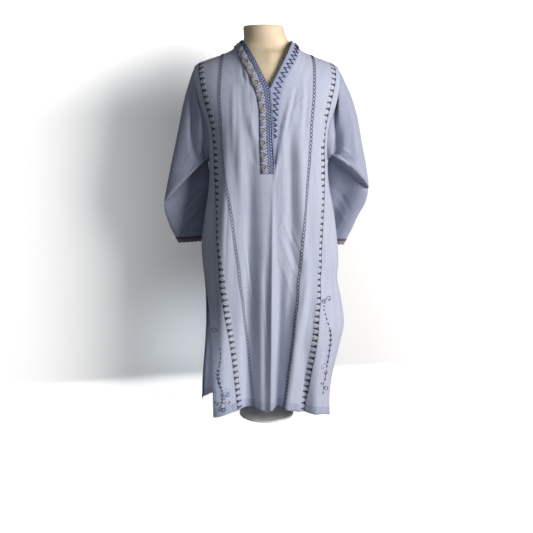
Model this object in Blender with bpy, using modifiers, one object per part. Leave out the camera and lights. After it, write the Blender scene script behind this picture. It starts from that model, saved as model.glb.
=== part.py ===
"""Kurta tunic on a limbless dress form, in metres, +Z up, the front facing -Y.

The cloth is cut as its maker cuts it: a front panel with a V neck, a back panel, two sleeves, three
neckbands, two chain trims, two tooth borders and two cuff laces.  Each is a thin wall of its own.
A place on the front or back is written as it is seen from the front, by its x and its height z, and
the panels, bands and trims are all worked out from the same body surface.
"""

import math

import bmesh
import bpy
import numpy as np

for old in list(bpy.data.objects):
    bpy.data.objects.remove(old, do_unlink=True)

# ---------------------------------------------------------------- driving dimensions

CLOTH = 0.0016            # cotton, with its turned edges
BAND = 0.0012             # neckbands
TRIM = 0.0010             # chain trims, tooth borders and lace
SEAM = 0.0012             # between two panels at a seam
LIFT = 0.0004             # between a trim and the panel that it lies on
BAND_LIFT = 0.0014        # between a neckband and the panel

CHEST = 0.80              # height above which the body rounds over to the shoulder seam
ROUND = 0.24              # length of that rounding in the chart of the body
TOP = CHEST + ROUND       # chart height of the shoulder seam
ARMPIT = 0.745            # height of the underarm point
SIDE_POWER = 2.8          # squareness of the body's rings
SHOULDER_POWER = 2.2      # squareness of the rounding to the shoulder
SLIT_TOP = 0.42           # where the side seams end and the slits begin

V_POINT = (-0.0065, 0.942)        # bottom of the V neck
NECK_POINT = 0.066                # neck edge on the shoulder seam, each way
SHOULDER_TIP = 0.193              # armhole on the shoulder seam, each way
BACK_NECK = 1.055                 # lowest height of the back neckline
PLACKET_END = 0.720               # lower end of the placket

PLATE_RADIUS = 0.080
PLATE = 0.006
PLATE_EDGE = 0.0015       # rounding of its edge
POLE_RADIUS = 0.0125
FORM_BOTTOM = 0.360
REST = 0.0003             # between two hard pieces that touch
ROUND_SIDES = 40          # of the pole and the plate

# shoulder seam: distance from the middle, height
SHOULDER = ((0.000, 1.100), (0.030, 1.093), (0.066, 1.071), (0.090, 1.049), (0.120, 1.034),
            (0.160, 1.020), (0.187, 1.0085), (0.200, 0.999), (0.220, 0.976))

# both side seams, above the slits: height, left x, right x
SIDES = ((SLIT_TOP, -0.178, 0.2025), (0.460, -0.182, 0.205), (0.520, -0.184, 0.201),
         (0.600, -0.1725, 0.190), (0.700, -0.160, 0.171), (0.745, -0.160, 0.168),
         (0.790, -0.163, 0.166), (0.820, -0.169, 0.170), (0.870, -0.191, 0.191),
         (0.930, -0.206, 0.206), (1.040, -0.205, 0.205))

# the free edges along the slits: height, left x, left y, right x, right y
FRONT_SLIT = ((0.012, -0.163, -0.086, 0.1785, -0.060), (0.075, -0.163, -0.082, 0.178, -0.052),
              (0.137, -0.1635, -0.076, 0.187, -0.043), (0.218, -0.164, -0.064, 0.207, -0.031),
              (0.280, -0.165, -0.050, 0.2215, -0.020), (0.350, -0.170, -0.022, 0.2145, -0.008))
BACK_SLIT = ((0.025, -0.191, 0.022, 0.186, 0.024), (0.130, -0.186, 0.022, 0.186, 0.024),
             (0.223, -0.178, 0.020, 0.188, 0.022), (0.290, -0.174, 0.016, 0.192, 0.017),
             (0.350, -0.174, 0.008, 0.198, 0.008))

# how far the panels stand before and behind the side seams: height, front, back
DEPTHS = ((0.012, 0.118, 0.104), (0.200, 0.114, 0.102), (0.400, 0.111, 0.102), (0.550, 0.113, 0.099),
          (0.700, 0.122, 0.098), (0.800, 0.128, 0.104), (0.900, 0.128, 0.108), (1.040, 0.127, 0.108))

# lines of the front panel, as x at each height; the columns of its wall run along them
LINE_HEIGHTS = (0.030, 0.100, 0.200, 0.300, 0.400, 0.500, 0.600, 0.720, 0.820, 0.900, 0.960, 1.000)
LINES = {
    "border out left": (-0.094, -0.101, -0.110, -0.122, -0.134, -0.141, -0.146, -0.150,
                        -0.154, -0.172, -0.184, -0.1860),
    "border in left": (-0.076, -0.083, -0.092, -0.104, -0.116, -0.123, -0.129, -0.136,
                       -0.141, -0.157, -0.168, -0.1690),
    "chain out left": (-0.0470, -0.0545, -0.0655, -0.0765, -0.0870, -0.0980, -0.1085, -0.1230,
                       -0.1330, -0.1390, -0.1370, -0.1310),
    "chain in left": (-0.0390, -0.0465, -0.0575, -0.0685, -0.0790, -0.0900, -0.1005, -0.1150,
                      -0.1250, -0.1310, -0.1290, -0.1230),
    "placket left": (-0.0250, -0.0265, -0.0280, -0.0290, -0.0300, -0.0300, -0.0295, -0.0297,
                     -0.0340, -0.0365, -0.0540, -0.0720),
    "opening": (0.0040, 0.0040, 0.0040, 0.0040, 0.0040, 0.0040, 0.0045, 0.0063,
                0.0010, -0.0035, -0.0065, -0.0065),
    "band right": (0.0140, 0.0160, 0.0200, 0.0230, 0.0250, 0.0260, 0.0220, 0.0125,
                   0.0190, 0.0230, 0.0380, 0.0620),
    "chain in right": (0.029, 0.037, 0.049, 0.060, 0.070, 0.079, 0.086, 0.095, 0.1015, 0.108, 0.113,
                       0.1165),
    "chain out right": (0.037, 0.045, 0.057, 0.068, 0.078, 0.087, 0.094, 0.103, 0.1095, 0.116, 0.121,
                        0.1245),
    "border in right": (0.082, 0.089, 0.104, 0.115, 0.121, 0.124, 0.127, 0.133, 0.133, 0.147, 0.163,
                        0.1675),
    "border out right": (0.100, 0.108, 0.123, 0.134, 0.140, 0.143, 0.147, 0.151, 0.150, 0.165, 0.181,
                         0.1855),
}
LINE_TOPS = {             # where a line ends on the shoulder seam; the opening parts along the V neck
    "border out left": -0.1870, "border in left": -0.1690, "chain out left": -0.1240,
    "chain in left": -0.1160, "placket left": -0.0880, "band right": 0.0885, "chain in right": 0.1190,
    "chain out right": 0.1270, "border in right": 0.1690, "border out right": 0.1870,
}
LINE_CELLS = (4, 2, 3, 1, 4, 3, 2, 5, 1, 3, 2, 4)     # columns of faces between the lines
BACK_CELLS = (8, 5)       # columns of faces of half the back: along the shoulder, round the neck
SKIRT_ROWS = 17           # rows of faces from the hem to the underarm
ARM_ROWS = 12             # rows of faces beside the armhole
NECK_CROWD = 1.5          # how much closer the back's neck columns lie towards the middle
ARM_CROWD = 1.25          # how much closer those rows lie towards the shoulder
CURVE_POINTS = 200        # points of a neckline before it is divided evenly
FINE_POINTS = 400         # points of any edge before it is divided evenly
LINE_END = 0.012          # a line's table stops at least this far below its top
HEM_LEVEL = 0.03          # height at which a column's place on the hem is read
V_ROWS = 5                # of the rows beside the armhole, those below the V point
NECK_CURVE = 1.2          # how flat the back neckline runs to its middle
NECK_EASE = 2             # how late the back's columns turn towards the neck
SIDE_SHARE = 0.7          # how much of the side's depth counts as length round the body

# armhole in the chart of the body, from the underarm point up: height, across
ARMHOLE = ((ARMPIT, 1.000), (0.780, 0.920), (0.820, 0.860), (0.870, 0.815), (0.930, 0.780))

# hem of the front panel: x, height
HEM = ((-0.163, 0.026), (-0.144, 0.018), (-0.115, 0.044), (-0.067, 0.062), (-0.046, 0.060),
       (-0.0135, 0.054), (0.004, 0.057), (0.0134, 0.063), (0.050, 0.049), (0.108, 0.037),
       (0.166, 0.016), (0.1785, 0.012))
BACK_HEM = ((-0.191, 0.040), (-0.100, 0.034), (0.000, 0.030), (0.100, 0.032), (0.186, 0.036))

# folds: place round the body and height of the upper end, the same of the lower end, depth above and below
# (outward is positive), half width above and below, share of the length that fades in and out
FRONT_FOLDS = (
    ("centre ridge", 0.003, 0.700, -0.003, 0.02, 0.003, 0.015, 0.010, 0.011, 0.30, 0.0),
    ("shoulder of the ridge", -0.020, 0.700, -0.024, 0.02, 0.002, 0.009, 0.015, 0.018, 0.30, 0.0),
    ("valley left of the ridge", -0.060, 0.900, -0.064, 0.02, -0.006, -0.022, 0.019, 0.024, 0.3, 0.0),
    ("left crest", -0.132, 0.900, -0.160, 0.02, 0.007, 0.017, 0.022, 0.031, 0.25, 0.0),
    ("valley right of the ridge", 0.028, 0.540, 0.016, 0.02, -0.003, -0.010, 0.012, 0.012, 0.4, 0.0),
    ("right bust valley", 0.045, 0.900, 0.060, 0.40, -0.006, -0.008, 0.012, 0.014, 0.3, 0.4),
    ("right bust crest", 0.074, 0.900, 0.094, 0.40, 0.006, 0.009, 0.014, 0.016, 0.3, 0.4),
    ("right crest", 0.112, 0.500, 0.034, 0.02, 0.005, 0.013, 0.018, 0.018, 0.3, 0.0),
    ("right hollow", 0.094, 0.340, 0.102, 0.02, -0.003, -0.015, 0.015, 0.018, 0.4, 0.0),
    ("right border ridge", 0.136, 0.500, 0.140, 0.02, 0.003, 0.010, 0.016, 0.018, 0.4, 0.0),
    ("left border tuck", -0.200, 0.680, -0.172, 0.26, -0.009, -0.009, 0.012, 0.013, 0.3, 0.4),
    ("left corner", -0.196, 0.300, -0.188, 0.02, 0.003, 0.010, 0.018, 0.018, 0.4, 0.0),
    ("right border tuck", 0.206, 0.640, 0.196, 0.16, -0.009, -0.009, 0.012, 0.013, 0.3, 0.5),
    ("drag from the neck", 0.050, 0.920, 0.014, 0.72, 0.005, 0.006, 0.012, 0.012, 0.4, 0.4),
    ("hollow beside the drag", 0.026, 0.890, 0.000, 0.68, -0.003, -0.004, 0.013, 0.014, 0.4, 0.4),
    ("bust fold left", -0.094, 0.880, -0.088, 0.62, 0.004, 0.005, 0.012, 0.014, 0.35, 0.5),
)
BACK_FOLDS = (
    ("back centre valley", 0.006, 0.780, 0.010, 0.02, -0.005, -0.018, 0.024, 0.022, 0.3, 0.0),
    ("back left flute", -0.056, 0.820, -0.062, 0.02, 0.005, 0.013, 0.022, 0.024, 0.3, 0.0),
    ("back left valley", -0.112, 0.800, -0.118, 0.02, -0.005, -0.015, 0.018, 0.020, 0.3, 0.0),
    ("back right flute", 0.064, 0.800, 0.070, 0.02, 0.005, 0.014, 0.022, 0.024, 0.3, 0.0),
    ("back right valley", 0.120, 0.780, 0.126, 0.02, -0.005, -0.015, 0.018, 0.020, 0.3, 0.0),
    ("back left side flute", -0.176, 0.600, -0.180, 0.02, 0.002, 0.009, 0.016, 0.018, 0.4, 0.0),
)

# sleeves, written for the +X side: underarm x, y, z, outer edge x, y, z, fullness front and back.
# Every section but the last four fans out from the underarm; the overhang ends the upper sleeve,
# and the sections after it hang behind its fold, inward and to the back.
SLEEVE_RIGHT = (
    ("cap", 0.1715, 0.000, 0.7475, 0.2140, 0.000, 0.972, 0.050, 0.052),
    ("upper arm", 0.1725, -0.002, 0.7500, 0.2380, 0.000, 0.922, 0.047, 0.050),
    ("biceps", 0.1740, -0.005, 0.7540, 0.2560, 0.000, 0.864, 0.044, 0.047),
    ("above the elbow", 0.1750, -0.009, 0.7585, 0.2690, 0.001, 0.800, 0.041, 0.044),
    ("elbow", 0.1760, -0.013, 0.7635, 0.2830, 0.003, 0.738, 0.037, 0.041),
    ("overhang", 0.1770, -0.018, 0.7690, 0.2940, 0.007, 0.673, 0.030, 0.038),
    ("tuck", 0.1800, -0.003, 0.7730, 0.2930, 0.011, 0.676, 0.004, 0.036),
    ("under the fold", 0.1805, 0.022, 0.7430, 0.2965, 0.016, 0.650, 0.010, 0.034),
    ("forearm", 0.1815, 0.050, 0.7000, 0.2910, 0.025, 0.620, 0.014, 0.031),
    ("middle forearm", 0.1770, 0.084, 0.6420, 0.2740, 0.036, 0.584, 0.018, 0.026),
    ("lower forearm", 0.1570, 0.112, 0.5780, 0.2600, 0.046, 0.546, 0.019, 0.023),
    ("cuff", 0.1300, 0.134, 0.5160, 0.2460, 0.056, 0.512, 0.018, 0.021),
)
SLEEVE_LEFT = (
    ("cap", 0.1640, 0.000, 0.7475, 0.2070, 0.000, 0.972, 0.043, 0.052),
    ("upper arm", 0.1655, -0.002, 0.7490, 0.2240, 0.000, 0.920, 0.035, 0.050),
    ("biceps", 0.1660, -0.006, 0.7510, 0.2385, 0.000, 0.856, 0.029, 0.047),
    ("above the elbow", 0.1665, -0.011, 0.7530, 0.2545, 0.001, 0.784, 0.025, 0.044),
    ("elbow", 0.1655, -0.016, 0.7555, 0.2710, 0.003, 0.712, 0.022, 0.041),
    ("overhang", 0.1655, -0.021, 0.7580, 0.2865, 0.007, 0.634, 0.019, 0.038),
    ("tuck", 0.1640, -0.004, 0.7600, 0.2825, 0.012, 0.642, 0.002, 0.036),
    ("under the fold", 0.1635, 0.022, 0.7300, 0.2870, 0.016, 0.622, 0.008, 0.034),
    ("forearm", 0.1580, 0.052, 0.6860, 0.2810, 0.024, 0.592, 0.014, 0.031),
    ("middle forearm", 0.1530, 0.084, 0.6400, 0.2720, 0.031, 0.565, 0.018, 0.026),
    ("lower forearm", 0.1410, 0.112, 0.5810, 0.2640, 0.038, 0.546, 0.019, 0.023),
    ("cuff", 0.1200, 0.134, 0.5260, 0.2560, 0.046, 0.5290, 0.018, 0.021),
)
LACE_DEPTH = 0.0165       # of the plain band, above the scallops
LACE_GAP = 0.0004         # between the cuff and the lace
SCALLOP = 0.0035          # how far each scallop hangs below it
SCALLOPS = 28
SCALLOP_STEPS = 3

# dress form: height, half width, front, back, squareness, lean of the neck towards -X
FORM = (
    (1.1090, 0.0540, 0.0510, 0.0510, 2.0, 0.009), (1.0900, 0.0560, 0.0520, 0.0520, 2.0, 0.006),
    (1.0740, 0.0600, 0.0530, 0.0520, 2.0, 0.002), (1.0600, 0.0702, 0.0520, 0.0500, 1.85, 0.0),
    (1.0476, 0.0860, 0.0560, 0.0530, 1.75, 0.0), (1.0330, 0.1150, 0.0720, 0.0640, 1.50, 0.0),
    (1.0186, 0.1500, 0.0800, 0.0700, 1.38, 0.0), (1.0000, 0.1660, 0.0890, 0.0760, 1.50, 0.0),
    (0.9600, 0.1660, 0.1000, 0.0840, 1.75, 0.0), (0.9000, 0.1590, 0.1080, 0.0900, 2.0, 0.0),
    (0.8300, 0.1490, 0.1120, 0.0910, 2.1, 0.0), (0.7600, 0.1400, 0.1070, 0.0880, 2.1, 0.0),
    (0.6700, 0.1200, 0.0900, 0.0780, 2.0, 0.0), (0.5800, 0.1280, 0.0840, 0.0760, 2.0, 0.0),
    (0.4900, 0.1460, 0.0820, 0.0760, 2.1, 0.0), (0.4100, 0.1490, 0.0800, 0.0750, 2.1, 0.0),
    (0.3720, 0.1380, 0.0720, 0.0690, 2.1, 0.0), (FORM_BOTTOM, 0.1150, 0.0560, 0.0540, 2.0, 0.0),
)
FORM_SIDES = 32

# ---------------------------------------------------------------- the body surface


def through(at, knots, values):
    """A smooth curve through the rows of a table, flat past its ends."""
    knots, values = np.asarray(knots, float), np.asarray(values, float)
    at = np.clip(np.asarray(at, float), knots[0], knots[-1])
    slopes = np.gradient(values, knots)
    low = np.clip(np.searchsorted(knots, at, side="right") - 1, 0, len(knots) - 2)
    span = knots[low + 1] - knots[low]
    t = (at - knots[low]) / span
    return ((1 + 2 * t) * (1 - t) ** 2 * values[low] + t ** 2 * (3 - 2 * t) * values[low + 1]
            + t * (1 - t) ** 2 * span * slopes[low] - t ** 2 * (1 - t) * span * slopes[low + 1])


def column(table, number):
    return [row[number] for row in table]


SEAM_ROWS = tuple((height, left, 0.0, right, 0.0) for height, left, right in SIDES)
EDGES = {"front": FRONT_SLIT + SEAM_ROWS, "back": BACK_SLIT + SEAM_ROWS}
OUTWARD = {"front": -1.0, "back": 1.0}
FOLDS = {"front": FRONT_FOLDS, "back": BACK_FOLDS}


def edges(panel, height):
    table = EDGES[panel]
    return [through(height, column(table, 0), column(table, number)) for number in (1, 2, 3, 4)]


def shoulder_height(x):
    return through(np.abs(x), column(SHOULDER, 0), column(SHOULDER, 1))


def body(panel, across, height):
    """The smooth surface: across runs from -1 to 1 between the side seams, height up to TOP."""
    left, left_y, right, right_y = edges(panel, height)
    angle = np.clip(across, -1, 1) * math.pi / 2
    reach = np.sign(angle) * np.abs(np.sin(angle)) ** (2 / SIDE_POWER)
    crown = np.abs(np.cos(angle)) ** (2 / SIDE_POWER)
    x = (left + right) / 2 + (right - left) / 2 * reach
    rim = left_y + (right_y - left_y) * (reach + 1) / 2
    turn = np.clip((height - CHEST) / ROUND, 0, 1) * math.pi / 2
    rise = (shoulder_height(x) - CHEST) * np.sin(turn) ** (2 / SHOULDER_POWER)
    z = np.where(height < CHEST, height, CHEST + rise)
    depth = through(height, column(DEPTHS, 0), column(DEPTHS, 1 if panel == "front" else 2))
    out = OUTWARD[panel]
    lean = np.abs(np.cos(turn)) ** (2 / SHOULDER_POWER)
    y = rim + out * (depth - out * rim) * crown * lean + out * SEAM / 2
    return np.stack([x, y, z], -1)


def chart(panel, x, z):
    """Where the point of the surface seen at x and z lies: its across and height values."""
    x, z = np.asarray(x, float), np.asarray(z, float)
    share = np.clip((z - CHEST) / (shoulder_height(x) - CHEST), 0, 1)
    turn = np.arcsin(share ** (SHOULDER_POWER / 2))
    height = np.where(z < CHEST, z, CHEST + ROUND * turn / (math.pi / 2))
    left, _, right, _ = edges(panel, height)
    reach = np.clip((x - (left + right) / 2) / ((right - left) / 2), -1, 1)
    across = np.sign(reach) * np.arcsin(np.abs(reach) ** (SIDE_POWER / 2)) / (math.pi / 2)
    return across, height


def smooth_step(t):
    t = np.clip(t, 0, 1)
    return t * t * (3 - 2 * t)


def girth(panel, flat, across):
    """How far round the body from its middle a point lies, measured about along the cloth."""
    depth = through(flat[..., 2], column(DEPTHS, 0), column(DEPTHS, 1 if panel == "front" else 2))
    crown = np.abs(np.cos(np.clip(across, -1, 1) * math.pi / 2)) ** (2 / SIDE_POWER)
    x = flat[..., 0]
    return x + np.sign(x) * SIDE_SHARE * depth * (1 - crown)


def fold_depth(panel, x, z):
    total = np.zeros_like(x)
    for _, x0, z0, x1, z1, deep0, deep1, wide0, wide1, fade_in, fade_out in FOLDS[panel]:
        t = (z0 - z) / (z0 - z1)
        strength = smooth_step(t / fade_in)
        if fade_out:
            strength = strength * smooth_step((1 - t) / fade_out)
        t = np.clip(t, 0, 1)
        middle = x0 + (x1 - x0) * t
        deep = deep0 + (deep1 - deep0) * t
        wide = wide0 + (wide1 - wide0) * t
        total = total + strength * deep * np.exp(-((x - middle) / wide) ** 2)
    return total


def cloth(panel, across, height):
    """The middle of the cloth: the smooth surface with its folds."""
    step = 0.002
    flat = body(panel, across, height)
    along = body(panel, across + step, height) - body(panel, across - step, height)
    up = (body(panel, across, np.minimum(height + step, TOP))
          - body(panel, across, height - step))
    normal = np.cross(along, up) * -OUTWARD[panel]
    normal /= np.linalg.norm(normal, axis=-1, keepdims=True)
    return flat + normal * fold_depth(panel, girth(panel, flat, across), flat[..., 2])[..., None]


# ---------------------------------------------------------------- grids of points


def line_chart(name):
    """A line of the front panel as across values at chart heights, from the hem to its top."""
    across, height = chart("front", LINES[name], LINE_HEIGHTS)
    if name in LINE_TOPS:
        top_across, top_height = chart("front", LINE_TOPS[name], shoulder_height(LINE_TOPS[name]))
    else:
        top_across, top_height = chart("front", *V_POINT)
    keep = height < top_height - LINE_END
    return np.append(across[keep], top_across), np.append(height[keep], top_height)


def v_neckline(side):
    """One straight edge of the V neck as seen from the front, from its point to the shoulder seam."""
    x = np.linspace(V_POINT[0], side * NECK_POINT, CURVE_POINTS)
    return x, np.linspace(V_POINT[1], float(shoulder_height(NECK_POINT)), CURVE_POINTS)


def back_neckline(x_end, low):
    """Half of a curve round the back of the neck, from the shoulder seam to the middle."""
    bend = np.linspace(0, math.pi / 2, CURVE_POINTS)
    top = float(shoulder_height(x_end))
    return x_end * np.cos(bend), top + (low - top) * np.sin(bend) ** NECK_CURVE


def evenly(panel, across, height, cells, crowd=1.0):
    """Points spread evenly along a line on the surface, or closer to its end with more crowd."""
    fine = np.linspace(0, 1, FINE_POINTS)
    marks = np.linspace(0, 1, len(across))
    fine_across, fine_height = through(fine, marks, across), through(fine, marks, height)
    path = body(panel, fine_across, fine_height)
    run = np.append(0, np.cumsum(np.linalg.norm(np.diff(path, axis=0), axis=1)))
    want = run[-1] * (1 - np.linspace(1, 0, cells + 1) ** crowd)
    return np.interp(want, run, fine_across), np.interp(want, run, fine_height)


def armhole(panel, side):
    """The armhole edge of one panel, from the underarm to the tip of the shoulder."""
    tip, _ = chart(panel, side * SHOULDER_TIP, shoulder_height(SHOULDER_TIP))
    across = [side * value for value in column(ARMHOLE, 1)] + [float(tip)]
    return evenly(panel, across, column(ARMHOLE, 0) + [TOP], ARM_ROWS, ARM_CROWD)


def heights_up(hem, top, arm_heights):
    """Heights up a column of points: evenly to the underarm, then in step with the armhole."""
    skirt = np.append(np.linspace(hem, PLACKET_END, SKIRT_ROWS), ARMPIT)
    return np.append(skirt, ARMPIT + (top - ARMPIT) * (arm_heights[1:] - ARMPIT) / (TOP - ARMPIT))


def front_chart():
    """Across and height of every point of the front panel's grid, column by column."""
    names = list(LINES)
    arm_heights = armhole("front", 1)[1]

    def side_edge(side):
        hem_x = edges("front", HEM_LEVEL)[0 if side < 0 else 2]
        hem = float(through(hem_x, column(HEM, 0), column(HEM, 1)))
        across = np.append(np.full(SKIRT_ROWS + 1, float(side)), armhole("front", side)[0][1:])
        return across, heights_up(hem, TOP, arm_heights)

    def line(name):
        across, height = line_chart(name)
        hem = float(through(LINES[name][0], column(HEM, 0), column(HEM, 1)))
        up = heights_up(hem, height[-1], arm_heights)
        return through(up, height, across), up

    def opening(side):
        across, height = line_chart("opening")
        hem = float(through(LINES["opening"][0], column(HEM, 0), column(HEM, 1)))
        skirt = np.append(np.linspace(hem, PLACKET_END, SKIRT_ROWS), ARMPIT)
        up = np.append(skirt, np.linspace(ARMPIT, height[-1], V_ROWS + 1)[1:])
        edge = evenly("front", *chart("front", *v_neckline(side)), ARM_ROWS - V_ROWS)
        return np.append(through(up, height, across), edge[0][1:]), np.append(up, edge[1][1:])

    middle = names.index("opening")
    left = [side_edge(-1)] + [line(name) for name in names[:middle]] + [opening(-1)]
    right = [opening(1)] + [line(name) for name in names[middle + 1:]] + [side_edge(1)]
    columns = []
    for bounds, half_cells in ((left, LINE_CELLS[:middle + 1]), (right, LINE_CELLS[middle + 1:])):
        for start, end, cells in zip(bounds, bounds[1:], half_cells):
            for k in range(cells):
                columns.append([a + (b - a) * k / cells for a, b in zip(start, end)])
        columns.append(bounds[-1])
    return np.array([c[0] for c in columns]), np.array([c[1] for c in columns])


def line_column(name):
    """The grid column that runs along a line; the opening has one more column on its right."""
    number = list(LINES).index(name)
    return sum(LINE_CELLS[:number + 1]) + (number > list(LINES).index("opening"))


def back_chart():
    """The same for the back panel, whose columns spread evenly at the hem."""
    seam_cells, neck_cells = BACK_CELLS
    tip, neck = [float(chart("back", x, shoulder_height(x))[0]) for x in (SHOULDER_TIP, NECK_POINT)]
    curve = evenly("back", *chart("back", *back_neckline(NECK_POINT, BACK_NECK)), neck_cells,
                   NECK_CROWD)
    half_across = np.append(np.linspace(tip, neck, seam_cells + 1), curve[0][1:])
    half_height = np.append(np.full(seam_cells + 1, TOP), curve[1][1:])
    top_across = np.append(-half_across, half_across[-2::-1]) / tip
    top_height = np.append(half_height, half_height[-2::-1])
    hem_across = (np.linspace(-1, 1, len(top_across)) + top_across) / 2
    hem_x = body("back", hem_across, np.full(len(hem_across), HEM_LEVEL))[:, 0]
    hem_height = through(hem_x, column(BACK_HEM, 0), column(BACK_HEM, 1))
    arm_across, arm_heights = armhole("back", 1)
    edge = np.append(np.ones(SKIRT_ROWS + 1), arm_across[1:])
    ease = np.linspace(0, 1, len(edge)) ** NECK_EASE
    across = (hem_across[:, None] + (top_across - hem_across)[:, None] * ease) * edge
    height = np.array([heights_up(low, high, arm_heights) for low, high in zip(hem_height, top_height)])
    return across, height


# ---------------------------------------------------------------- solids

part_collection = bpy.data.collections.new("kurta_tunic")
bpy.context.scene.collection.children.link(part_collection)


def material(name, colour, roughness, metallic=0.0):
    made = bpy.data.materials.new(name)
    made.use_nodes = True
    shader = made.node_tree.nodes["Principled BSDF"]
    shader.inputs["Base Color"].default_value = (*colour, 1.0)
    shader.inputs["Roughness"].default_value = roughness
    shader.inputs["Metallic"].default_value = metallic
    return made


def add_object(name, mesh, looks):
    mesh.materials.append(looks)
    piece = bpy.data.objects.new(name, mesh)
    part_collection.objects.link(piece)
    return piece


def point_numbers(shape, parting=None):
    """Numbers of a grid's points; parting = (column, row) joins that column to the next up to that row."""
    numbers = np.arange(shape[0] * shape[1]).reshape(shape)
    if parting:
        column_number, row = parting
        numbers[column_number + 1, :row + 1] = numbers[column_number, :row + 1]
    used, numbers = np.unique(numbers, return_inverse=True)
    return used, numbers.reshape(shape)


def sheet_mesh(name, points, tube=False, parting=None):
    """An open surface from a grid of points, first index across, second index up.

    Its squares are cut along the same diagonal everywhere, so that a trim lies flat on its panel.
    """
    columns, rows = points.shape[:2]
    used, numbers = point_numbers((columns, rows), parting)
    faces = []
    for i in range(columns if tube else columns - 1):
        if parting and i == parting[0]:
            continue
        j = (i + 1) % columns
        for k in range(rows - 1):
            a, b, c, d = (int(numbers[m]) for m in ((i, k), (j, k), (j, k + 1), (i, k + 1)))
            faces.extend(((a, b, c), (a, c, d)))
    mesh = bpy.data.meshes.new(name)
    mesh.from_pydata([tuple(p) for p in points.reshape(-1, 3)[used]], [], faces)
    mesh.shade_smooth()
    return mesh


def turn_faces(mesh):
    made = bmesh.new()
    made.from_mesh(mesh)
    bmesh.ops.reverse_faces(made, faces=made.faces)
    made.to_mesh(mesh)
    made.free()


def wall(piece, thickness):
    shell = piece.modifiers.new("wall", "SOLIDIFY")
    shell.thickness = thickness
    shell.offset = 0.0


def normals_of(mesh, shape, parting=None):
    normals = np.array([tuple(v.vector) for v in mesh.vertex_normals])
    return normals[point_numbers(shape, parting)[1]]


looks = {
    "cotton": material("chambray cotton", (0.42, 0.46, 0.60), 0.85),
    "band": material("plain neckband", (0.33, 0.36, 0.56), 0.8),
    "stitched": material("embroidered neckband", (0.50, 0.48, 0.52), 0.8),
    "chain": material("chain trim", (0.35, 0.30, 0.36), 0.8),
    "border": material("tooth border", (0.55, 0.52, 0.50), 0.8),
    "lace": material("cuff lace", (0.30, 0.24, 0.27), 0.8),
    "form": material("form cover", (0.83, 0.68, 0.46), 0.6),
    "steel": material("white painted steel", (0.85, 0.85, 0.85), 0.4),
}

front_grid = cloth("front", *front_chart())
v_parting = (line_column("opening"), SKIRT_ROWS + V_ROWS)
front_mesh = sheet_mesh("front_panel", front_grid, parting=v_parting)
front_normals = normals_of(front_mesh, front_grid.shape[:2], v_parting)
wall(add_object("front_panel", front_mesh, looks["cotton"]), CLOTH)

back_grid = cloth("back", *back_chart())
back_mesh = sheet_mesh("back_panel", back_grid)
turn_faces(back_mesh)
back_normals = normals_of(back_mesh, back_grid.shape[:2])
wall(add_object("back_panel", back_mesh, looks["cotton"]), CLOTH)


def trim(name, first, last, low_row, lift, thickness, finish, inset=0.0):
    """A strip on the front panel: the panel's own points between two columns, moved out.

    An inset draws the strip's first edge in from its column, clear of the strip beside it.
    """
    points, normals = front_grid[first: last + 1, low_row:], front_normals[first: last + 1, low_row:]
    moved = points + normals * (CLOTH / 2 + lift + thickness / 2)
    inward = moved[1] - moved[0]
    moved[0] += inward * inset / np.linalg.norm(inward, axis=1, keepdims=True)
    wall(add_object(name, sheet_mesh(name, moved), looks[finish]), thickness)


for trim_name, first_line, last_line, trim_finish in (
        ("tooth_border_left", "border out left", "border in left", "border"),
        ("chain_trim_left", "chain out left", "chain in left", "chain"),
        ("chain_trim_right", "chain in right", "chain out right", "chain"),
        ("tooth_border_right", "border in right", "border out right", "border")):
    trim(trim_name, line_column(first_line), line_column(last_line), 0, LIFT, TRIM, trim_finish)

# ---------------------------------------------------------------- neckbands

PLACKET_CLEAR = 0.0012             # between the placket and the plain band beside it

# the embroidered band runs on below the V as the placket; the plain one tapers beside it
trim("neckband_embroidered", line_column("placket left"), line_column("opening"), SKIRT_ROWS - 1,
     LIFT, BAND, "stitched")
trim("neckband_plain", line_column("opening") + 1, line_column("band right"), SKIRT_ROWS + 1,
     LIFT, BAND, "band", inset=PLACKET_CLEAR)

BACK_BAND = (0.0660, 0.0880, BACK_NECK, 1.021)     # neck edge and outer edge: x at the seam, middle z
BACK_BAND_CELLS = (14, 3)                          # round the neck, across the band


def back_band():
    """The band round the back of the neck, on the body's surface between two curves, moved out."""
    inner_x, outer_x, inner_z, outer_z = BACK_BAND
    around, wide = BACK_BAND_CELLS
    inner, outer = [np.array(evenly("back", *chart("back", *back_neckline(x, z)), around // 2))
                    for x, z in ((inner_x, inner_z), (outer_x, outer_z))]
    f = np.linspace(0, 1, wide + 1)[None, :, None]
    half = inner[:, None, :] + (outer - inner)[:, None, :] * f
    mirrored = half[:, :, -2::-1] * np.array([-1, 1])[:, None, None]
    across, height = np.concatenate([half, mirrored], axis=2)
    points = cloth("back", across, height)
    mesh = sheet_mesh("neckband_back", points)
    normals = normals_of(mesh, points.shape[:2])
    upward = np.sign(normals[..., 2].sum())
    moved = points + normals * upward * (CLOTH / 2 + BAND_LIFT + BAND / 2)
    bpy.data.meshes.remove(mesh)
    mesh = sheet_mesh("neckband_back", moved)
    if upward < 0:
        turn_faces(mesh)
    wall(add_object("neckband_back", mesh, looks["band"]), BAND)


back_band()

# ---------------------------------------------------------------- sleeves

ARM_LIFT = 0.0009                  # between the panel's edge and the sleeve that laps over it


def armhole_ring(side):
    """The armhole's points moved out on to the panels: underarm, front, tip, back."""
    edge = 0 if side < 0 else -1
    lift = CLOTH + ARM_LIFT
    front, back = [grid[edge, SKIRT_ROWS:] + normals[edge, SKIRT_ROWS:] * lift
                   for grid, normals in ((front_grid, front_normals), (back_grid, back_normals))]
    return np.vstack([front, back[-2:0:-1]])


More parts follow.
